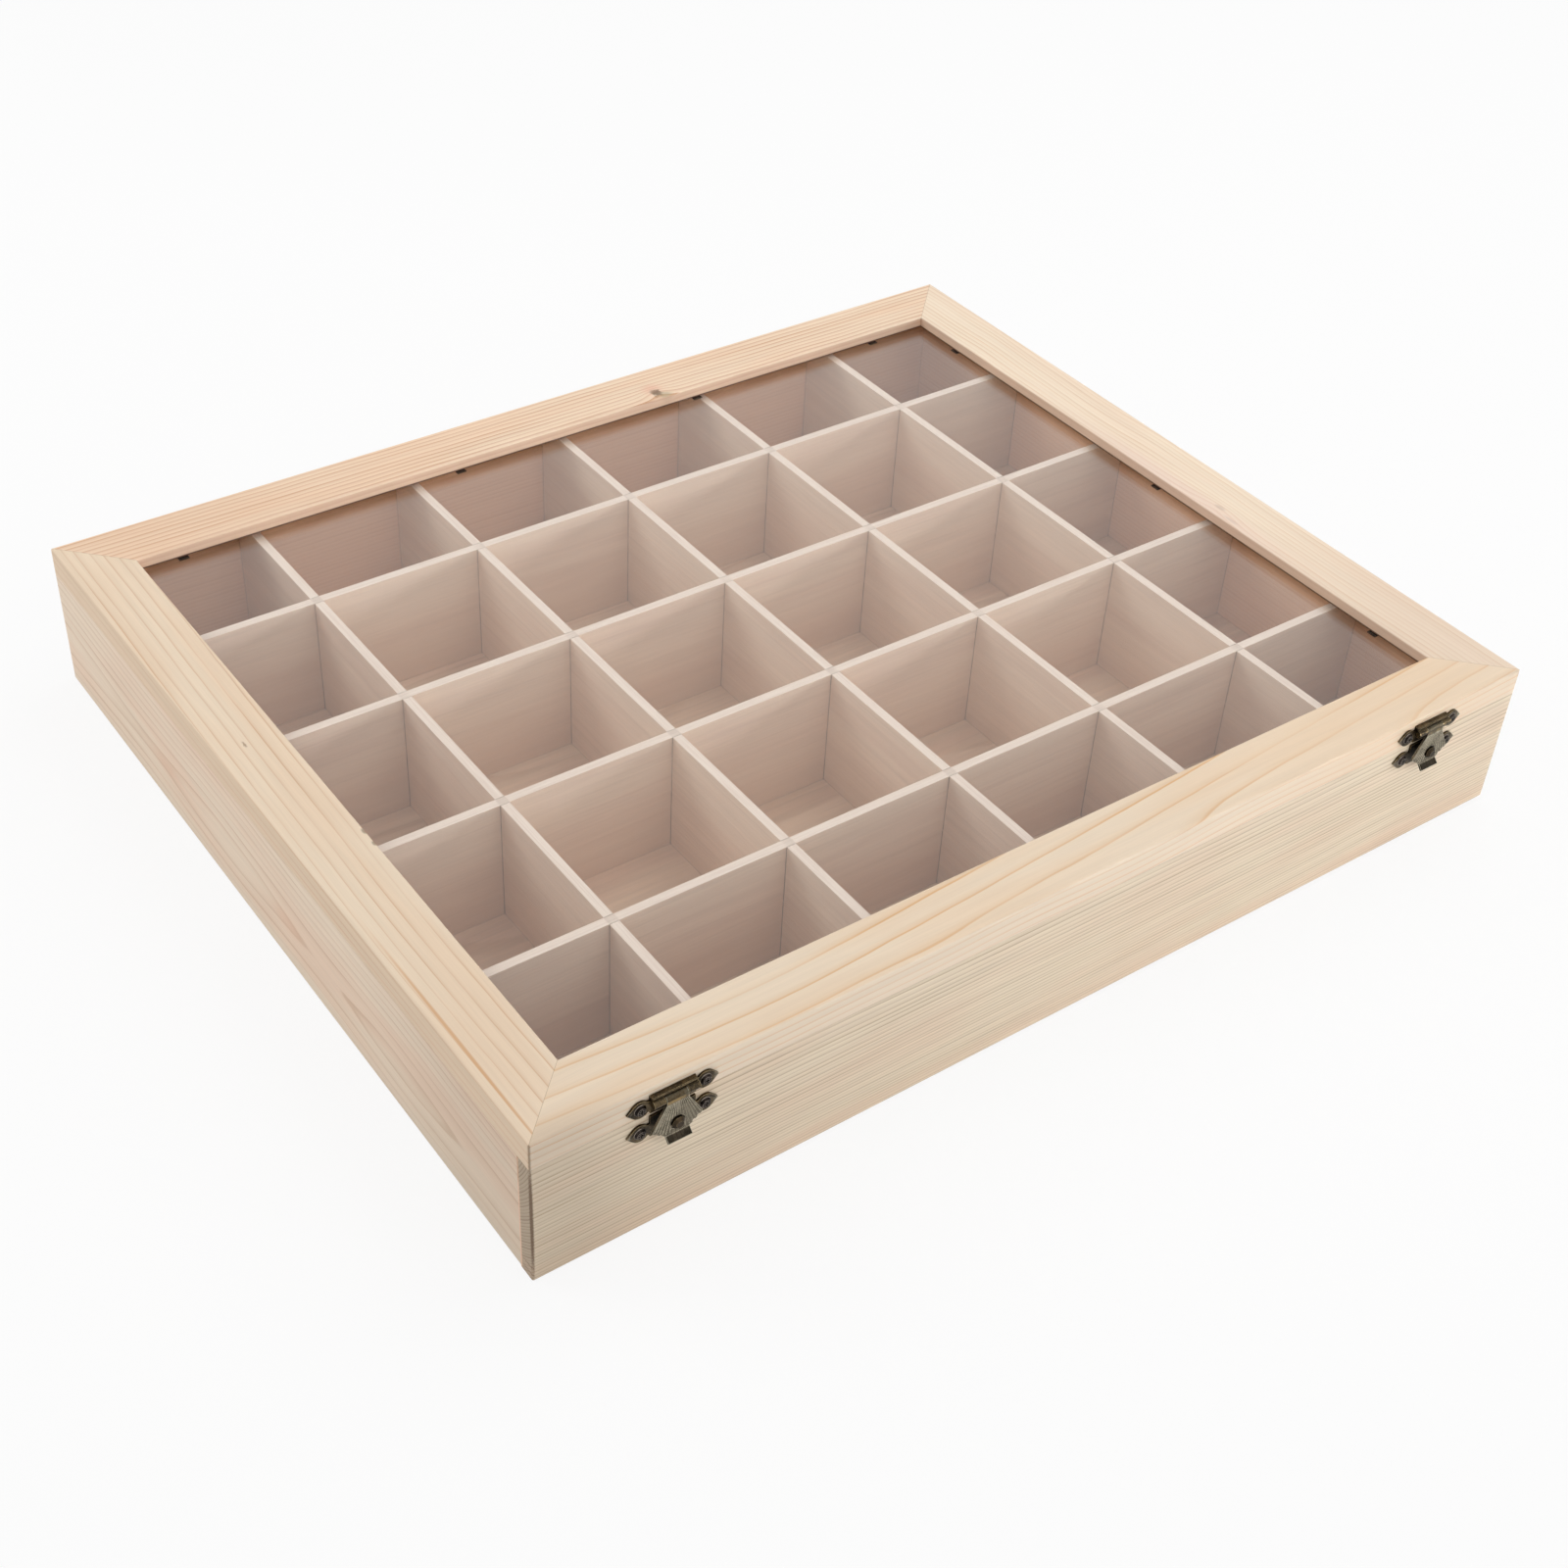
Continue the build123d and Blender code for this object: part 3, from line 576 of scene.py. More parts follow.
# The far rails are paler than the near ones: painted light, as the far side of the box is lit more.
BACK_RAIL_LIT_TONES = dict(FRONT_RAIL_TONES, spring=linear(250, 228, 202), blush=linear(249, 221, 193),
                       side=linear(250, 228, 206), summer=linear(210, 157, 117), contrast=0.8)
RIGHT_RAIL_LIT_TONES = dict(FRONT_RAIL_TONES, spring=linear(250, 232, 209), blush=linear(248, 227, 204),
                        side=linear(250, 228, 206), summer=linear(222, 186, 148), contrast=0.6)
ARCHES = [{"at": 22.0, "long": 40.0, "across": 26.0, "wide": 6.5, "push": -2.4},
          {"at": 132.0, "long": 34.0, "across": 26.0, "wide": 6.5, "push": -2.4},
          {"at": -60.0, "long": 22.0, "across": 25.0, "wide": 6.0, "push": -0.8}]
FRONT_RAIL_CUT = {"ring": 2.75, "turn": 72.0, "far": 400.0, "shift": 0.4, "seed": 31.0,
                  "wave": 0.2, "wave_length": 120.0, "ripple": 0.26, "line": 0.07,
                  "faintest": 0.4, "bends": ARCHES,
                  "sag": {"at": -120.0, "soft": 30.0, "slope": 0.0278}}
LEFT_RAIL_CUT = {"ring": 2.75, "turn": 52.0, "far": 300.0, "seed": 37.0, "wave": 0.45,
                 "wave_length": 110.0, "ripple": 0.34, "uneven": 0.9, "line": 0.055,
                 "faintest": 0.3, "sag": {"at": -90.0, "soft": 40.0, "slope": 0.012}}
BACK_RAIL_CUT = dict(STEEP_CUT, ring=1.75, turn=48.0, far=200.0, seed=41.0, faintest=0.55,
                     wave=0.9, wave_length=70.0, ripple=0.5, line=0.24,
                     bends=[{"at": 47.0, "long": 7.0, "across": 4.5, "wide": 4.0, "push": -2.2}])
RIGHT_RAIL_CUT = dict(STEEP_CUT, ring=1.5, turn=50.0, far=200.0, seed=43.0, wave=1.3,
                      wave_length=70.0, ripple=0.6,
                      bends=[{"at": -36.0, "long": 13.0, "across": 4.5, "wide": 4.0, "push": -1.6}])
print("arches on the front rail:", len(ARCHES))

# %% [markdown]
# The far rails were cut close to small knots, which push the rings aside. The left rail has three
# small dashes and one orange line on top. The tones that fade along a rail are marks too, only very
# long ones; those that darken the back rail's left end, the right rail's front end and the front
# rail's near corner are painted shade. Each front corner has a spot of glue where its mitre starts.

# %% Marks on the rails
KNOT = linear(104, 82, 58)
MITRE_SPOT = {"ragged": 0.3, "edge": (0.3, 0.8)}
BACK_RAIL_MARKS = [
    # Painted shade: the back rail darkens towards its left end.
    mark(-160.0, 12.0, (70.0, 50.0), linear(228, 184, 150), 0.3),
    mark(47.0, 8.0, (4.6, 4.5), linear(232, 176, 150), 0.5),
    mark(49.5, 1.6, (3.4, 2.6), linear(176, 160, 128), 0.6),
    mark(47.0, 4.6, (3.0, 3.4), KNOT, 0.8, ragged=2.4, edge=(0.25, 0.9)),
]
RIGHT_RAIL_MARKS = [
    mark(-36.0, 5.4, (3.6, 1.5), KNOT, 0.28, edge=CRISP),
    mark(-45.0, 2.6, (5.0, 1.0), KNOT, 0.24, edge=CRISP),
    mark(-20.0, 2.0, (60.0, 5.0), linear(238, 206, 196), 0.4),
    # Painted shade: the right rail darkens towards its front end.
    mark(front_face, 12.0, (110.0, 60.0), linear(222, 198, 178), 0.45),
]
LEFT_RAIL_MARKS = [
    mark(30.0, 13.5, (2.3, 0.55), linear(140, 100, 66), 0.6, ragged=0.8, edge=CRISP),
    mark(-31.0, 0.4, (2.0, 0.9), KNOT, 0.6, edge=CRISP),
    mark(-38.0, 0.4, (1.6, 0.8), KNOT, 0.6, edge=CRISP),
    mark(-130.0, 20.6, (60.0, 0.7), linear(206, 148, 88), 0.6, edge=(0.2, 0.9)),
    mark(front_face, rail_across, (0.75, 0.75), GLUE_STAIN, 0.75, **MITRE_SPOT),
]
FRONT_RAIL_MARKS = [
    mark(150.0, 12.0, (60.0, 50.0), linear(236, 202, 164), 0.3),
    # Painted shade: the front rail's outer edge darkens towards the near corner.
    mark(left_edge, rail_across, (32.0, 7.0), linear(100, 68, 44), 0.2),
    mark(left_edge, rail_across, (0.75, 0.75), GLUE_STAIN, 0.75, **MITRE_SPOT),
]
print("marks on the left rail:", len(LEFT_RAIL_MARKS))

# %% [markdown]
# A rail is milled underneath into a rebate, and the lip that is left holds the pane. The lip's face
# is plain wood with a dark line of painted shade at its foot, where it meets the glass, and painted
# shade browns the wood under the glass. At the corners two rails meet in a mitre, and a hair of
# glue darkens the line between them.

# %% Rails
GLUE, GLUE_WIDTH, GLUE_AMOUNT = linear(170, 142, 110), 0.16, 0.85
LIP_TONE, LIP_AMOUNT = linear(240, 209, 184), 0.65
LIP_SHADE, SHADE_AMOUNT = linear(84, 50, 30), 0.9
SHADE_START, SHADE_FULL = 0.85, 0.35    # how far above the foot the shade starts and is full
OUTER_BARE = 4.0                        # the outer strip underneath, which rests on the tray
under_glass = lid_top - glass_low.z
under_lip = lid_top - glass_high.z


def rail_spot(name, x, y, z):
    """A point as its place along a rail, out from the lip and down from the top."""
    out = {"front": lip_front - y, "back": y - lip_back, "left": lip_left - x,
           "right": x - lip_right}[name]
    return (x if name in ("front", "back") else y), out, lid_top - z


def lip_and_underside(finish, colour, out, down):
    """Adds the lip's plain face, the painted shade at its foot and painted shade on the wood under
    the glass.
    """
    level = finish.facing(2)
    lip_face = out.step(0.2, 0.4, 1.0, 0.0) * level.step(0.3, 0.7, LIP_AMOUNT, 0.0)
    colour = finish.blend(lip_face, colour, LIP_TONE)
    # Painted shade on the upright faces under the glass.
    under = down.step(under_glass - 0.2, under_glass + 0.2)
    under = under * out.step(rail_across - OUTER_BARE, rail_across - OUTER_BARE + 1, 1.0, 0.0)
    under = under * level.step(0.3, 0.7, 1.0, 0.0)
    colour = finish.blend(under, colour, PAINTED_UNDER_SHADE)
    # Painted shade: a dark line at the foot of the lip.
    foot = down.step(under_lip - SHADE_START, under_lip - SHADE_FULL)
    foot = foot * out.step(0.2, 0.4, SHADE_AMOUNT, 0.0)
    return finish.blend(foot, colour, LIP_SHADE)


def rail_finish(name, cut, tones, marks):
    """A lid rail, with its mitres' glue lines."""
    finish = Finish(name + "_rail_pine")
    x, y, z = finish.place()
    along, out, down = rail_spot(name, x, y, z)
    grain_axis = 0 if name in ("front", "back") else 1
    colour, fine, summer = board_colour(finish, (along, out, down), grain_axis, cut, tones)
    colour = marked(finish, colour, (along, out, down), marks)
    colour = lip_and_underside(finish, colour, out, down)
    to_mitre = ((x.size() - right_edge) - (y.size() - back_face)).size()
    colour = finish.blend(to_mitre.step(0.0, GLUE_WIDTH, GLUE_AMOUNT, 0.0), colour, GLUE)
    sanded(finish, colour, fine, summer)
    dress(["lid_rail_" + name], finish)


rail_finish("front", FRONT_RAIL_CUT, FRONT_RAIL_TONES, FRONT_RAIL_MARKS)
rail_finish("left", LEFT_RAIL_CUT, LEFT_RAIL_TONES, LEFT_RAIL_MARKS)
rail_finish("back", BACK_RAIL_CUT, BACK_RAIL_LIT_TONES, BACK_RAIL_MARKS)
rail_finish("right", RIGHT_RAIL_CUT, RIGHT_RAIL_LIT_TONES, RIGHT_RAIL_MARKS)

# %% [markdown]
# ### Dividers and bottom
# The dividers are thin strips of a plain, pinkish wood with hardly a line in it. Painted shade
# makes them browner towards the bottom, most on the long strips, whose faces look to the front, and
# their sawn tops are a little paler. Where two strips cross, each is notched halfway to take the
# other, and the notch shows as a thin dark line down each corner. A loop dresses them all, and
# shifts the cut for each, so that no two strips show the same lines. The bottom is plywood, with
# wide, faint flames in its face.

# %% How the strips lie
long_names = sorted(name for name in solids if name.startswith("long_divider"))
cross_names = sorted(name for name in solids if name.startswith("cross_divider"))
strip_low, strip_high = corners(long_names[0])
divider_foot, divider_top = strip_low.z, strip_high.z
divider_half = (strip_high.y - strip_low.y) / 2
row_pitch = corners(long_names[1])[0].y - strip_low.y
column_pitch = corners(cross_names[1])[0].x - corners(cross_names[0])[0].x
print("pitches %.2f by %.2f, strips %.1f thick" % (column_pitch, row_pitch, 2 * divider_half))

# %% Dividers
DIVIDER_TONES = {
    "spring": linear(241, 219, 199), "blush": linear(236, 211, 191),
    "summer": linear(212, 182, 158), "end_line": linear(150, 125, 100),
    "contrast": 0.16, "streak": 0.025, "hair": 0.035, "band": 0.025, "canal": 0.08,
}
DIVIDER_CUT = {"ring": 3.4, "turn": 70.0, "wave": 1.6, "wave_length": 150.0, "ripple": 0.4,
               "uneven": 0.9, "line": 0.14, "faintest": 0.2}
SAWN_PALE, SAWN_LINE, SAWN_AMOUNT = linear(250, 231, 217), linear(238, 215, 200), 0.85
PAINTED_LOW_SHADE = linear(206, 170, 142)
LONG_LOW_SHADE, CROSS_LOW_SHADE = 0.4, 0.14
LOW_START, LOW_END = 3.0, 12.0          # from so far above the foot to so far under the top
NOTCH_LINE = 0.35                       # width of the dark line where two strips cross
NOTCH_SHADE, NOTCH_AMOUNT = linear(150, 118, 96), 0.55
PATCH_LENGTH, PATCH_HEIGHT = 3.0, 7.0


def notch_line(finish, along, z, number, pitch, crossings):
    """1 in the corners where other strips cross this one, patchy as a real gap is."""
    step = along / pitch + (0.0 if crossings % 2 else 0.5)
    to_notch = ((step + 0.5).rest() - 0.5).size() * pitch - divider_half
    patchy = finish.noise(along / PATCH_LENGTH, z / PATCH_HEIGHT, number * 1.7, 2.0)
    return to_notch.step(0.0, NOTCH_LINE, 1.0, 0.0) * patchy.step(0.35, 0.6, 0.35, 1.0)


def divider_finish(name, number):
    """A divider strip, with its paler sawn top and its dark notch lines."""
    finish = Finish(name + "_wood")
    x, y, z = finish.place()
    along, deep, grain_axis, low_shade_amount = y, x, 1, CROSS_LOW_SHADE
    pitch, crossings = row_pitch, len(long_names)
    if name in long_names:
        along, deep, grain_axis, low_shade_amount = x, y, 0, LONG_LOW_SHADE
        pitch, crossings = column_pitch, len(cross_names)
    cut = dict(DIVIDER_CUT, seed=51.0 + 5.3 * number, far=45.0 + 7.0 * (number % 4))
    spot = (along, z - 12 - 5 * (number % 5), deep + (number % 3) * 0.7)
    colour, fine, summer = board_colour(finish, spot, grain_axis, cut, DIVIDER_TONES)
    # Painted shade: the strips grow browner towards their foot.
    low = z.step(divider_foot + LOW_START, divider_top - LOW_END, low_shade_amount, 0.0)
    colour = finish.blend(low, colour, PAINTED_LOW_SHADE)
    top = finish.facing(2).step(0.6, 0.9)
    sawn = finish.blend(fine.step(0.4, 0.6), SAWN_LINE, SAWN_PALE)
    colour = finish.blend(top * SAWN_AMOUNT, colour, sawn)
    notch = notch_line(finish, along, z, number, pitch, crossings) * (1.0 - top * 0.6)
    colour = finish.blend(notch * NOTCH_AMOUNT, colour, NOTCH_SHADE)
    sanded(finish, colour, fine, summer, top)
    dress([name], finish)


for number, name in enumerate(long_names + cross_names):
    divider_finish(name, number)

# %% The bottom panel
PLYWOOD_TONES = dict(DIVIDER_TONES, spring=linear(234, 206, 180), blush=linear(228, 195, 170),
                     summer=linear(202, 164, 130), contrast=0.4, band=0.05)
PLYWOOD_CUT = {"ring": 2.2, "turn": 84.0, "far": 300.0, "seed": 71.0, "wave": 4.0,
               "wave_length": 170.0, "ripple": 0.4, "uneven": 0.9, "line": 0.2, "faintest": 0.3}
plywood = Finish("plywood")
colour, fine, summer = board_colour(plywood, plywood.place(), 0, PLYWOOD_CUT, PLYWOOD_TONES)
sanded(plywood, colour, fine, summer)
dress(["bottom_panel"], plywood)

# %% [markdown]
# ## Glass
# A pane is one solid with two faces that each mirror a little and bend light, which one
# Principled shader does. But a lamp can't find its way through bent light, and the box would
# go black inside. So rays that carry light, shadow and diffuse ones, meet a plain
# transparent pane instead. The eye still sees real glass.

# %% The pane
GLASS_TINT = (0.985, 0.995, 0.99, 1.0)
LET_THROUGH = (0.96, 0.965, 0.96, 1.0)
GLASS_IOR = 1.5

glass = Finish("clear_glass")
glass_body = glass.node("ShaderNodeBsdfPrincipled", values={
    "Base Color": GLASS_TINT, "Roughness": 0.0, "IOR": GLASS_IOR, "Transmission Weight": 1.0})
open_pane = glass.node("ShaderNodeBsdfTransparent", values={0: LET_THROUGH})
shadow_ray = glass.node("ShaderNodeLightPath", output=1)
diffuse_ray = glass.node("ShaderNodeLightPath", output=2)
glass.end_in(glass.node("ShaderNodeMixShader", values={
    0: shadow_ray.at_least(diffuse_ray), 1: glass_body, 2: open_pane}))
dress(["glass_pane"], glass)

# %% [markdown]
# ## Metal
# The latches are thin brass that was blackened in a bath and then rubbed back: hollows stay
# nearly black, flats go olive, and edges shine pale gold. A painter would put that on by
# hand. Here the Bevel node does it: it tells how the surface would turn if its edges were
# round, and where that differs from how it really lies, there is an edge.

# %% Rubbed edges
EDGE_REACH = 0.00035        # how far from an edge the rubbing shows, in metres
DEEP = 0.0016               # how near another surface makes a hollow, in metres
GRIME_SIZE, CLOUD_SIZE = 0.5, 3.5


def rubbed_edges(finish):
    """1 at an edge and 0 on a flat."""
    rounded = finish.node("ShaderNodeBevel", {"samples": RAY_SAMPLES}, {"Radius": EDGE_REACH})
    as_it_lies = finish.node("ShaderNodeNewGeometry", output=1)
    likeness = finish.node("ShaderNodeVectorMath", {"operation": "DOT_PRODUCT"},
                           {0: rounded, 1: as_it_lies}, output=1)
    return (1.0 - likeness).step(0.01, 0.2)


def bath_metal(finish, flat, tones, roughness):
    """Blackened metal that was rubbed back. flat is the colour of its flats."""
    place = finish.place()
    grime = finish.noise(*[axis / GRIME_SIZE for axis in place], 4.0, 0.65)
    cloud = finish.noise(*[axis / CLOUD_SIZE for axis in place], 2.0)
    worn = (grime * 0.5 + cloud * 0.5).step(0.38, 0.62)
    colour = finish.blend(worn, tones["dark"], flat)
    open_air = shade_within(finish, DEEP)
    colour = finish.blend(open_air.step(0.2, 0.8, 0.9, 0.0), colour, tones["hollow"])
    edge = rubbed_edges(finish) * open_air.step(0.2, 0.7) * grime.step(0.3, 0.5, 0.45, 1.0)
    colour = finish.blend(edge, colour, tones["edge"])
    rough = worn.step(0.0, 1.0, roughness + 0.16, roughness)
    finish.surface({"Base Color": colour, "Metallic": 1.0, "Roughness": rough})


def called(ending):
    """The names of the solids with this ending, or with one of these, in order."""
    return sorted(name for name in solids if name.endswith(ending))


def brass_on(ending, name, flat, tones, roughness):
    """Dresses all solids of one kind, such as the screws, in a blackened metal."""
    finish = Finish(name)
    bath_metal(finish, flat, tones, roughness)
    dress(called(ending), finish)

# %% [markdown]
# The plates of a latch are the plainest: olive flats, with the tips of their ears a pale grey that
# is partly rubbed wear and partly a painted highlight, and a darker hook. Hinges, pins and screws
# share the recipe, each with its own tone. The tabs that hold the pane are scratched black steel.

# %% Plates, hinges, pins, screws and tabs
PLATE_TONES = {"dark": linear(48, 42, 34), "hollow": linear(16, 13, 11),
               "edge": linear(178, 160, 122)}
SCREW_TONES = {"dark": linear(26, 22, 20), "hollow": linear(8, 7, 6), "edge": linear(168, 156, 144)}
OLIVE = linear(98, 84, 62)
EAR_TIP_WEAR_AND_HIGHLIGHT = linear(150, 140, 122)
EAR_START, EAR_FULL = 2.2, 0.8          # how far inside its tip an ear starts to be rubbed
HOOK_TONE = linear(66, 54, 40)
HOOK_START, HOOK_FULL = 3.2, 3.6        # how far out from the wall only the hook is left
HOOK_TOP = 1.5                          # the hook ends more than this under the seam
latch_low, latch_high = corners("right_latch_plate")
latch_middle = (latch_low.x + latch_high.x) / 2
ear_reach = latch_high.x - latch_middle

plate_brass = Finish("dark_brass")
x, y, z = plate_brass.place()
off_middle = (x.size() - latch_middle).size()
# The pale ear tips are partly rubbed wear and partly a painted highlight.
tip = off_middle.step(ear_reach - EAR_START, ear_reach - EAR_FULL)
plate_flat = plate_brass.blend(tip, OLIVE, EAR_TIP_WEAR_AND_HIGHLIGHT)
on_hook = y.step(front_face - HOOK_FULL, front_face - HOOK_START, 1.0, 0.0)
on_hook = on_hook * z.step(seam - HOOK_TOP - 0.5, seam - HOOK_TOP, 1.0, 0.0)
plate_flat = plate_brass.blend(on_hook, plate_flat, HOOK_TONE)
bath_metal(plate_brass, plate_flat, PLATE_TONES, 0.32)
dress(called(("latch_plate", "catch_plate")), plate_brass)

brass_on("_leaf", "hinge_brass", OLIVE, PLATE_TONES, 0.36)
brass_on("_pin", "pin_brass", linear(150, 128, 86), PLATE_TONES, 0.28)
brass_on("_screws", "screw_brass", linear(58, 50, 46), SCREW_TONES, 0.3)

SCRATCH_LENGTH, SCRATCH_WIDTH = 4.0, 0.4
tab_steel = Finish("black_steel")
x, y, z = tab_steel.place()
scratch = tab_steel.noise(x / SCRATCH_LENGTH, y / SCRATCH_WIDTH, z / SCRATCH_WIDTH, 3.0, 0.6)
tab_colour = tab_steel.blend(scratch.step(0.5, 0.7), linear(20, 18, 18), linear(52, 48, 46))
tab_steel.surface({"Base Color": tab_colour, "Metallic": 0.6,
                   "Roughness": scratch.step(0.3, 0.7, 0.5, 0.35)})
dress(["glazing_tabs"], tab_steel)

# %% [markdown]
# ### The latch flaps
# A flap is a little fan. Its knuckle turns on the pin; a painted highlight makes its front gold,
# and painted shade darkens it above, under the brow. Its face is rubbed to a grey olive and tooled
# with rays that spread from a point above the knuckle, and its finger lip stays dark but for its
# rim. The rays are real ribs, a seventh of a millimetre high, because a picture of ribs would go
# flat as soon as the flap turns to the light. Each stops short of the round window that the hook
# stands in.

# %% The shape of a flap
NECK_HALF = 3.75                        # half the fan's width under its knuckle
SHOULDER_HEIGHT = 43.8                  # where the fan is widest
FOOT_HALF, FOOT_HEIGHT = 4.2, 40.2      # where the finger lip starts
HOOK_HEIGHT, HOOK_WINDOW = 44.3, 2.6    # the middle and radius of the round window
FAN_RAYS = 15

pin_low, pin_high = corners("right_latch_pin")
pin_height = (pin_low.z + pin_high.z) / 2
flap_high = corners("right_latch_flap")[1]
knuckle = flap_high.z - pin_height
flap_face = (pin_low.y + pin_high.y) / 2 - knuckle
shoulder_half = flap_high.x - latch_middle
neck_foot = pin_height - knuckle
fan_spread = (shoulder_half - NECK_HALF) / (neck_foot - SHOULDER_HEIGHT)
ray_point = neck_foot + NECK_HALF / fan_spread
print("rays start %.1f mm up, flap face at y %.2f" % (ray_point, flap_face))

# %% The flap's brass
FLAT, GROOVE = linear(150, 140, 122), linear(66, 58, 46)
FLAT_WORN, LIP_WORN = linear(98, 91, 77), linear(18, 14, 10)
KNUCKLE_HIGHLIGHT = linear(150, 126, 84)
KNUCKLE_SHADE = linear(70, 58, 40)
LIP_DARK = linear(36, 28, 20)
FLAP_HOLLOW, FLAP_EDGE = linear(30, 26, 22), linear(206, 198, 176)

flap_brass = Finish("rubbed_brass")
x, y, z = flap_brass.place()
side = x.size() - latch_middle
ray = side / (ray_point - z) * (FAN_RAYS / (2 * fan_spread)) + 0.5
groove = (ray.rest() - 0.5).size().step(0.34, 0.46)
flap_flat = flap_brass.blend(groove * 0.75, FLAT, GROOVE)
# Painted highlight: a gold band along the front of the knuckle.
gold = z.step(neck_foot - 0.2, neck_foot + 0.3)
flap_flat = flap_brass.blend(gold, flap_flat, KNUCKLE_HIGHLIGHT)
# Painted shade: the knuckle darkens above, under the brow.
behind = z.step(neck_foot + 0.9, neck_foot + 1.4)
flap_flat = flap_brass.blend(behind, flap_flat, KNUCKLE_SHADE)
finger_lip = z.step(FOOT_HEIGHT - 0.3, FOOT_HEIGHT, 0.9, 0.0)
flap_flat = flap_brass.blend(finger_lip, flap_flat, LIP_DARK)
flap_dark = flap_brass.blend(finger_lip, FLAT_WORN, LIP_WORN)
flap_tones = {"dark": flap_dark, "hollow": FLAP_HOLLOW, "edge": FLAP_EDGE}
bath_metal(flap_brass, flap_flat, flap_tones, 0.4)
flaps = called("latch_flap")
dress(flaps, flap_brass)

# %% How far each rib runs
RIB_SLOPE_END = 0.35        # how far a rib's end slopes down to the face
RIB_MARGIN = 0.75           # bare face between the ribs and the flap's edge
rib_top = neck_foot - RIB_SLOPE_END
ray_slopes = [((number + 0.5) / FAN_RAYS * 2 - 1) * fan_spread for number in range(FAN_RAYS)]


def rib_spans(slope):
    """The top and bottom of each stretch of one ray, which leans by this slope."""
    flare = (shoulder_half - FOOT_HALF) / (SHOULDER_HEIGHT - FOOT_HEIGHT)
    lowest = FOOT_HEIGHT
    if slope * (ray_point - FOOT_HEIGHT) > FOOT_HALF:
        lowest = (slope * ray_point - FOOT_HALF + FOOT_HEIGHT * flare) / (flare + slope)
    lowest += RIB_MARGIN
    window = HOOK_WINDOW + RIB_MARGIN / 2
    reach = ray_point - HOOK_HEIGHT
    square = 1 + slope * slope
    inside = reach * reach - square * (reach * reach - window * window)
    if inside <= 0:
        return [(rib_top, lowest)]
    near, far = (reach - math.sqrt(inside)) / square, (reach + math.sqrt(inside)) / square
    spans = [(rib_top, ray_point - near), (ray_point - far, lowest)]
    return [(top, bottom) for top, bottom in spans if top - bottom > 2 * RIB_SLOPE_END]


print("ribs on each flap:", sum(len(rib_spans(abs(slope))) for slope in ray_slopes))

# %% The fan's ribs
RIB_HALF = 0.15
RIB_HEIGHT = 0.14
RIB_SUNK = 0.03             # how far a rib's foot is sunk into the face


def add_rib(corners_of, faces_of, middle, slope, top, bottom):
    """One rib: a low roof along its ray, with sloping ends."""
    first = len(corners_of)
    for height, crest_height in ((top, top - RIB_SLOPE_END), (bottom, bottom + RIB_SLOPE_END)):
        centre = middle + slope * (ray_point - height)
        crest = middle + slope * (ray_point - crest_height)
        corners_of += [(centre - RIB_HALF, flap_face + RIB_SUNK, height),
                       (centre + RIB_HALF, flap_face + RIB_SUNK, height),
                       (crest, flap_face - RIB_HEIGHT, crest_height)]
    roof = [(0, 2, 1), (3, 4, 5), (0, 3, 5, 2), (1, 2, 5, 4), (0, 1, 4, 3)]
    faces_of += [tuple(first + corner for corner in face) for face in roof]


for flap_name in flaps:
    body = flap_name.replace("latch_flap", "flap")
    low, high = corners(flap_name)
    middle = (low.x + high.x) / 2
    points, faces = [], []
    for slope in ray_slopes:
        for top, bottom in rib_spans(abs(slope)):
            add_rib(points, faces, middle, slope, top, bottom)
    rib_mesh = bpy.data.meshes.new(body + "_fan_ribs")
    rib_mesh.from_pydata([(px * MM, py * MM, pz * MM) for px, py, pz in points], [], faces)
    rib_mesh.materials.append(flap_brass.material)
    ribs = bpy.data.objects.new(body + "_fan_ribs", rib_mesh)
    bpy.context.scene.collection.objects.link(ribs)
    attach(ribs, body)
    print("%s: %d faces" % (ribs.name, len(faces)))

# %% [markdown]
# ## The studio
# A white table in a white room, and four lamps. The table is a plain near-white floor, so it
# keeps the box's shadow. Part of its white is its own glow, which only the eye and mirrors
# see, and so it lights nothing.

# %% The table
FLOOR_HALF = 6.0
TABLE = (0.93, 0.93, 0.93, 1.0)
TABLE_GLOW = 0.85           # how much of the table's look is plain white, whatever falls on it


def looked_at(finish):
    """1 for the eye and for what is seen in metal or through glass, 0 for light itself."""
    eye, mirrored, through = [finish.node("ShaderNodeLightPath", output=i) for i in (0, 3, 6)]
    return eye.at_least(mirrored).at_least(through)


table = Finish("table_white")
table_top = table.node("ShaderNodeBsdfPrincipled", values={
    "Base Color": TABLE, "Roughness": 0.9, "Specular IOR Level": 0.1})
table_glow = table.node("ShaderNodeEmission", values={"Strength": 1.0})
table.end_in(table.node("ShaderNodeMixShader", values={
    0: looked_at(table) * TABLE_GLOW, 1: table_top, 2: table_glow}))
floor_turns = [(-1, -1), (1, -1), (1, 1), (-1, 1)]
floor_corners = [(FLOOR_HALF * right, FLOOR_HALF * back, 0) for right, back in floor_turns]
floor_mesh = bpy.data.meshes.new("table")
floor_mesh.from_pydata(floor_corners, [], [(0, 1, 2, 3)])
floor_mesh.materials.append(table.material)
floor = bpy.data.objects.new("table", floor_mesh)
bpy.context.scene.collection.objects.link(floor)
print("table %.0f m wide" % (2 * FLOOR_HALF))

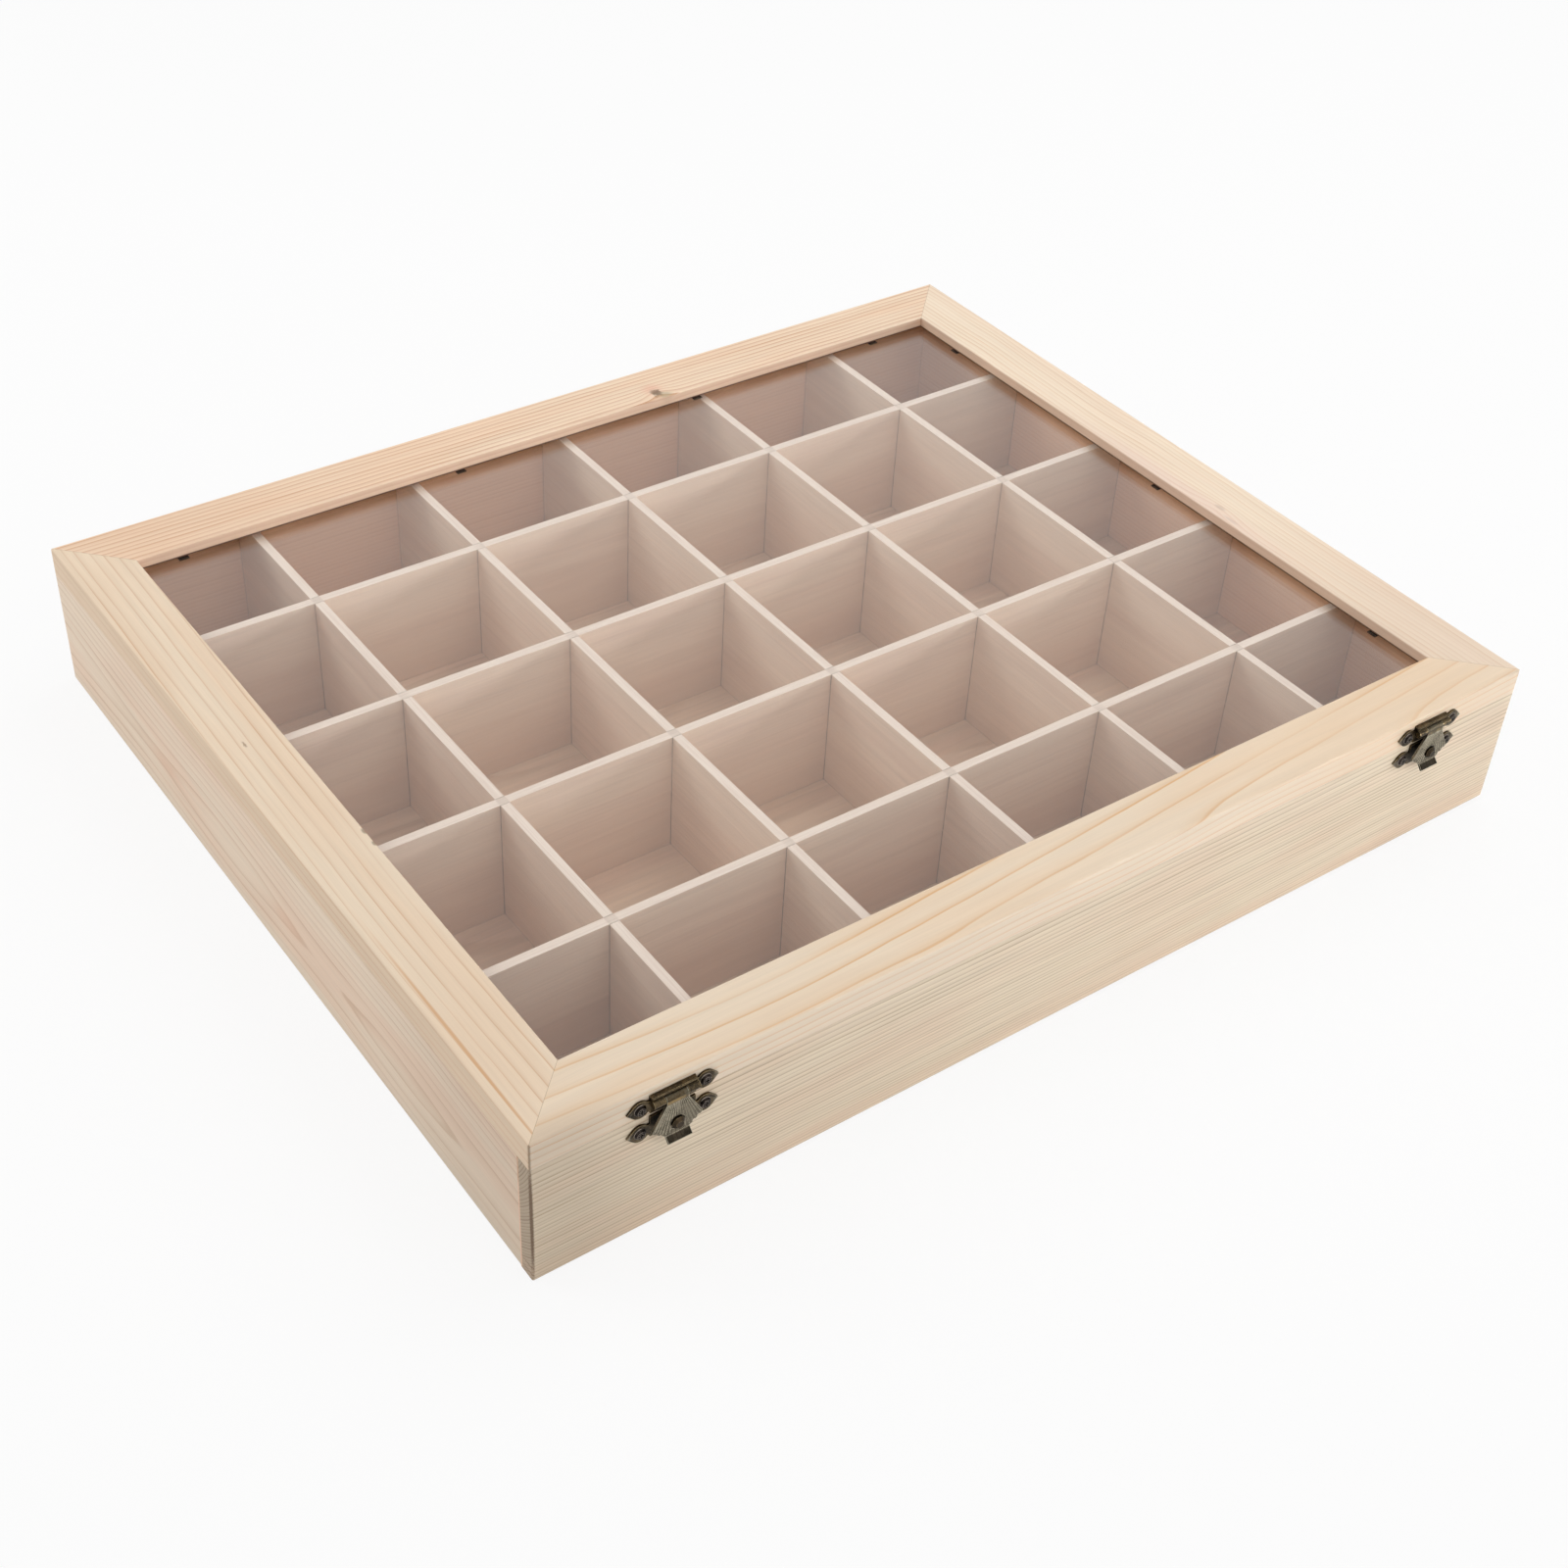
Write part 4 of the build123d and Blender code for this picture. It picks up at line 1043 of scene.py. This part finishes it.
# %% [markdown]
# The room, too, only looks white to the eye and in reflections. What it gives off as light is
# set apart, at a level where the colours come out as they were written.

# %% The room
ROOM_LIGHT = 0.57
WHITE = (1.0, 1.0, 1.0, 1.0)

world = bpy.data.worlds.new("room")
bpy.context.scene.world = world
room = Finish("room", world)
given = room.node("ShaderNodeBackground", values={"Color": WHITE, "Strength": ROOM_LIGHT})
shown = room.node("ShaderNodeBackground", values={"Color": WHITE, "Strength": 1.0})
room.end_in(room.node("ShaderNodeMixShader", values={0: looked_at(room), 1: given, 2: shown}),
            "ShaderNodeOutputWorld")
print("room light:", ROOM_LIGHT)

# %% [markdown]
# Each lamp is a square soft box. The left one and the front one light the two sides that
# show, unequally, so that the corner between them stays clear. A weak, low one on the right,
# with a grid that narrows its light, reaches under the front rail. The wide one above fills
# the compartments; metal and glass don't mirror it, or it would veil them.

# %% The lamps
MIDDLE = (0.0, 0.0, 0.0)
OPEN = 180.0                # the spread of a lamp without a grid, in degrees


def soft_box(name, place, aim, size, watts, spread=OPEN):
    """A square lamp that faces a point; a small spread is a soft box with a grid."""
    lamp_data = bpy.data.lights.new(name, "AREA")
    lamp_data.size = size
    lamp_data.energy = watts
    lamp_data.spread = math.radians(spread)
    lamp = bpy.data.objects.new(name, lamp_data)
    lamp.location = place
    way = Vector(aim) - Vector(place)
    lamp.rotation_euler = way.to_track_quat("-Z", "Y").to_euler()
    bpy.context.scene.collection.objects.link(lamp)
    print("%s at %.2f m, %.1f W" % (name, way.length, watts))
    return lamp


soft_box("right_soft_box", (1.20, -1.50, 0.25), (0.135, -0.12, 0.03), 0.45, watts=0.22, spread=15.0)
soft_box("left_soft_box", (-1.0, 0.80, 0.80), MIDDLE, 0.7, watts=4.1)
soft_box("front_soft_box", (0.05, -1.15, 1.05), MIDDLE, 0.8, watts=2.0)
top_box = soft_box("top_soft_box", (0.70, 0.15, 1.15), MIDDLE, 1.1, watts=5.0)
top_box.visible_glossy = False
top_box.visible_transmission = False
bpy.context.scene.view_settings.view_transform = "Standard"
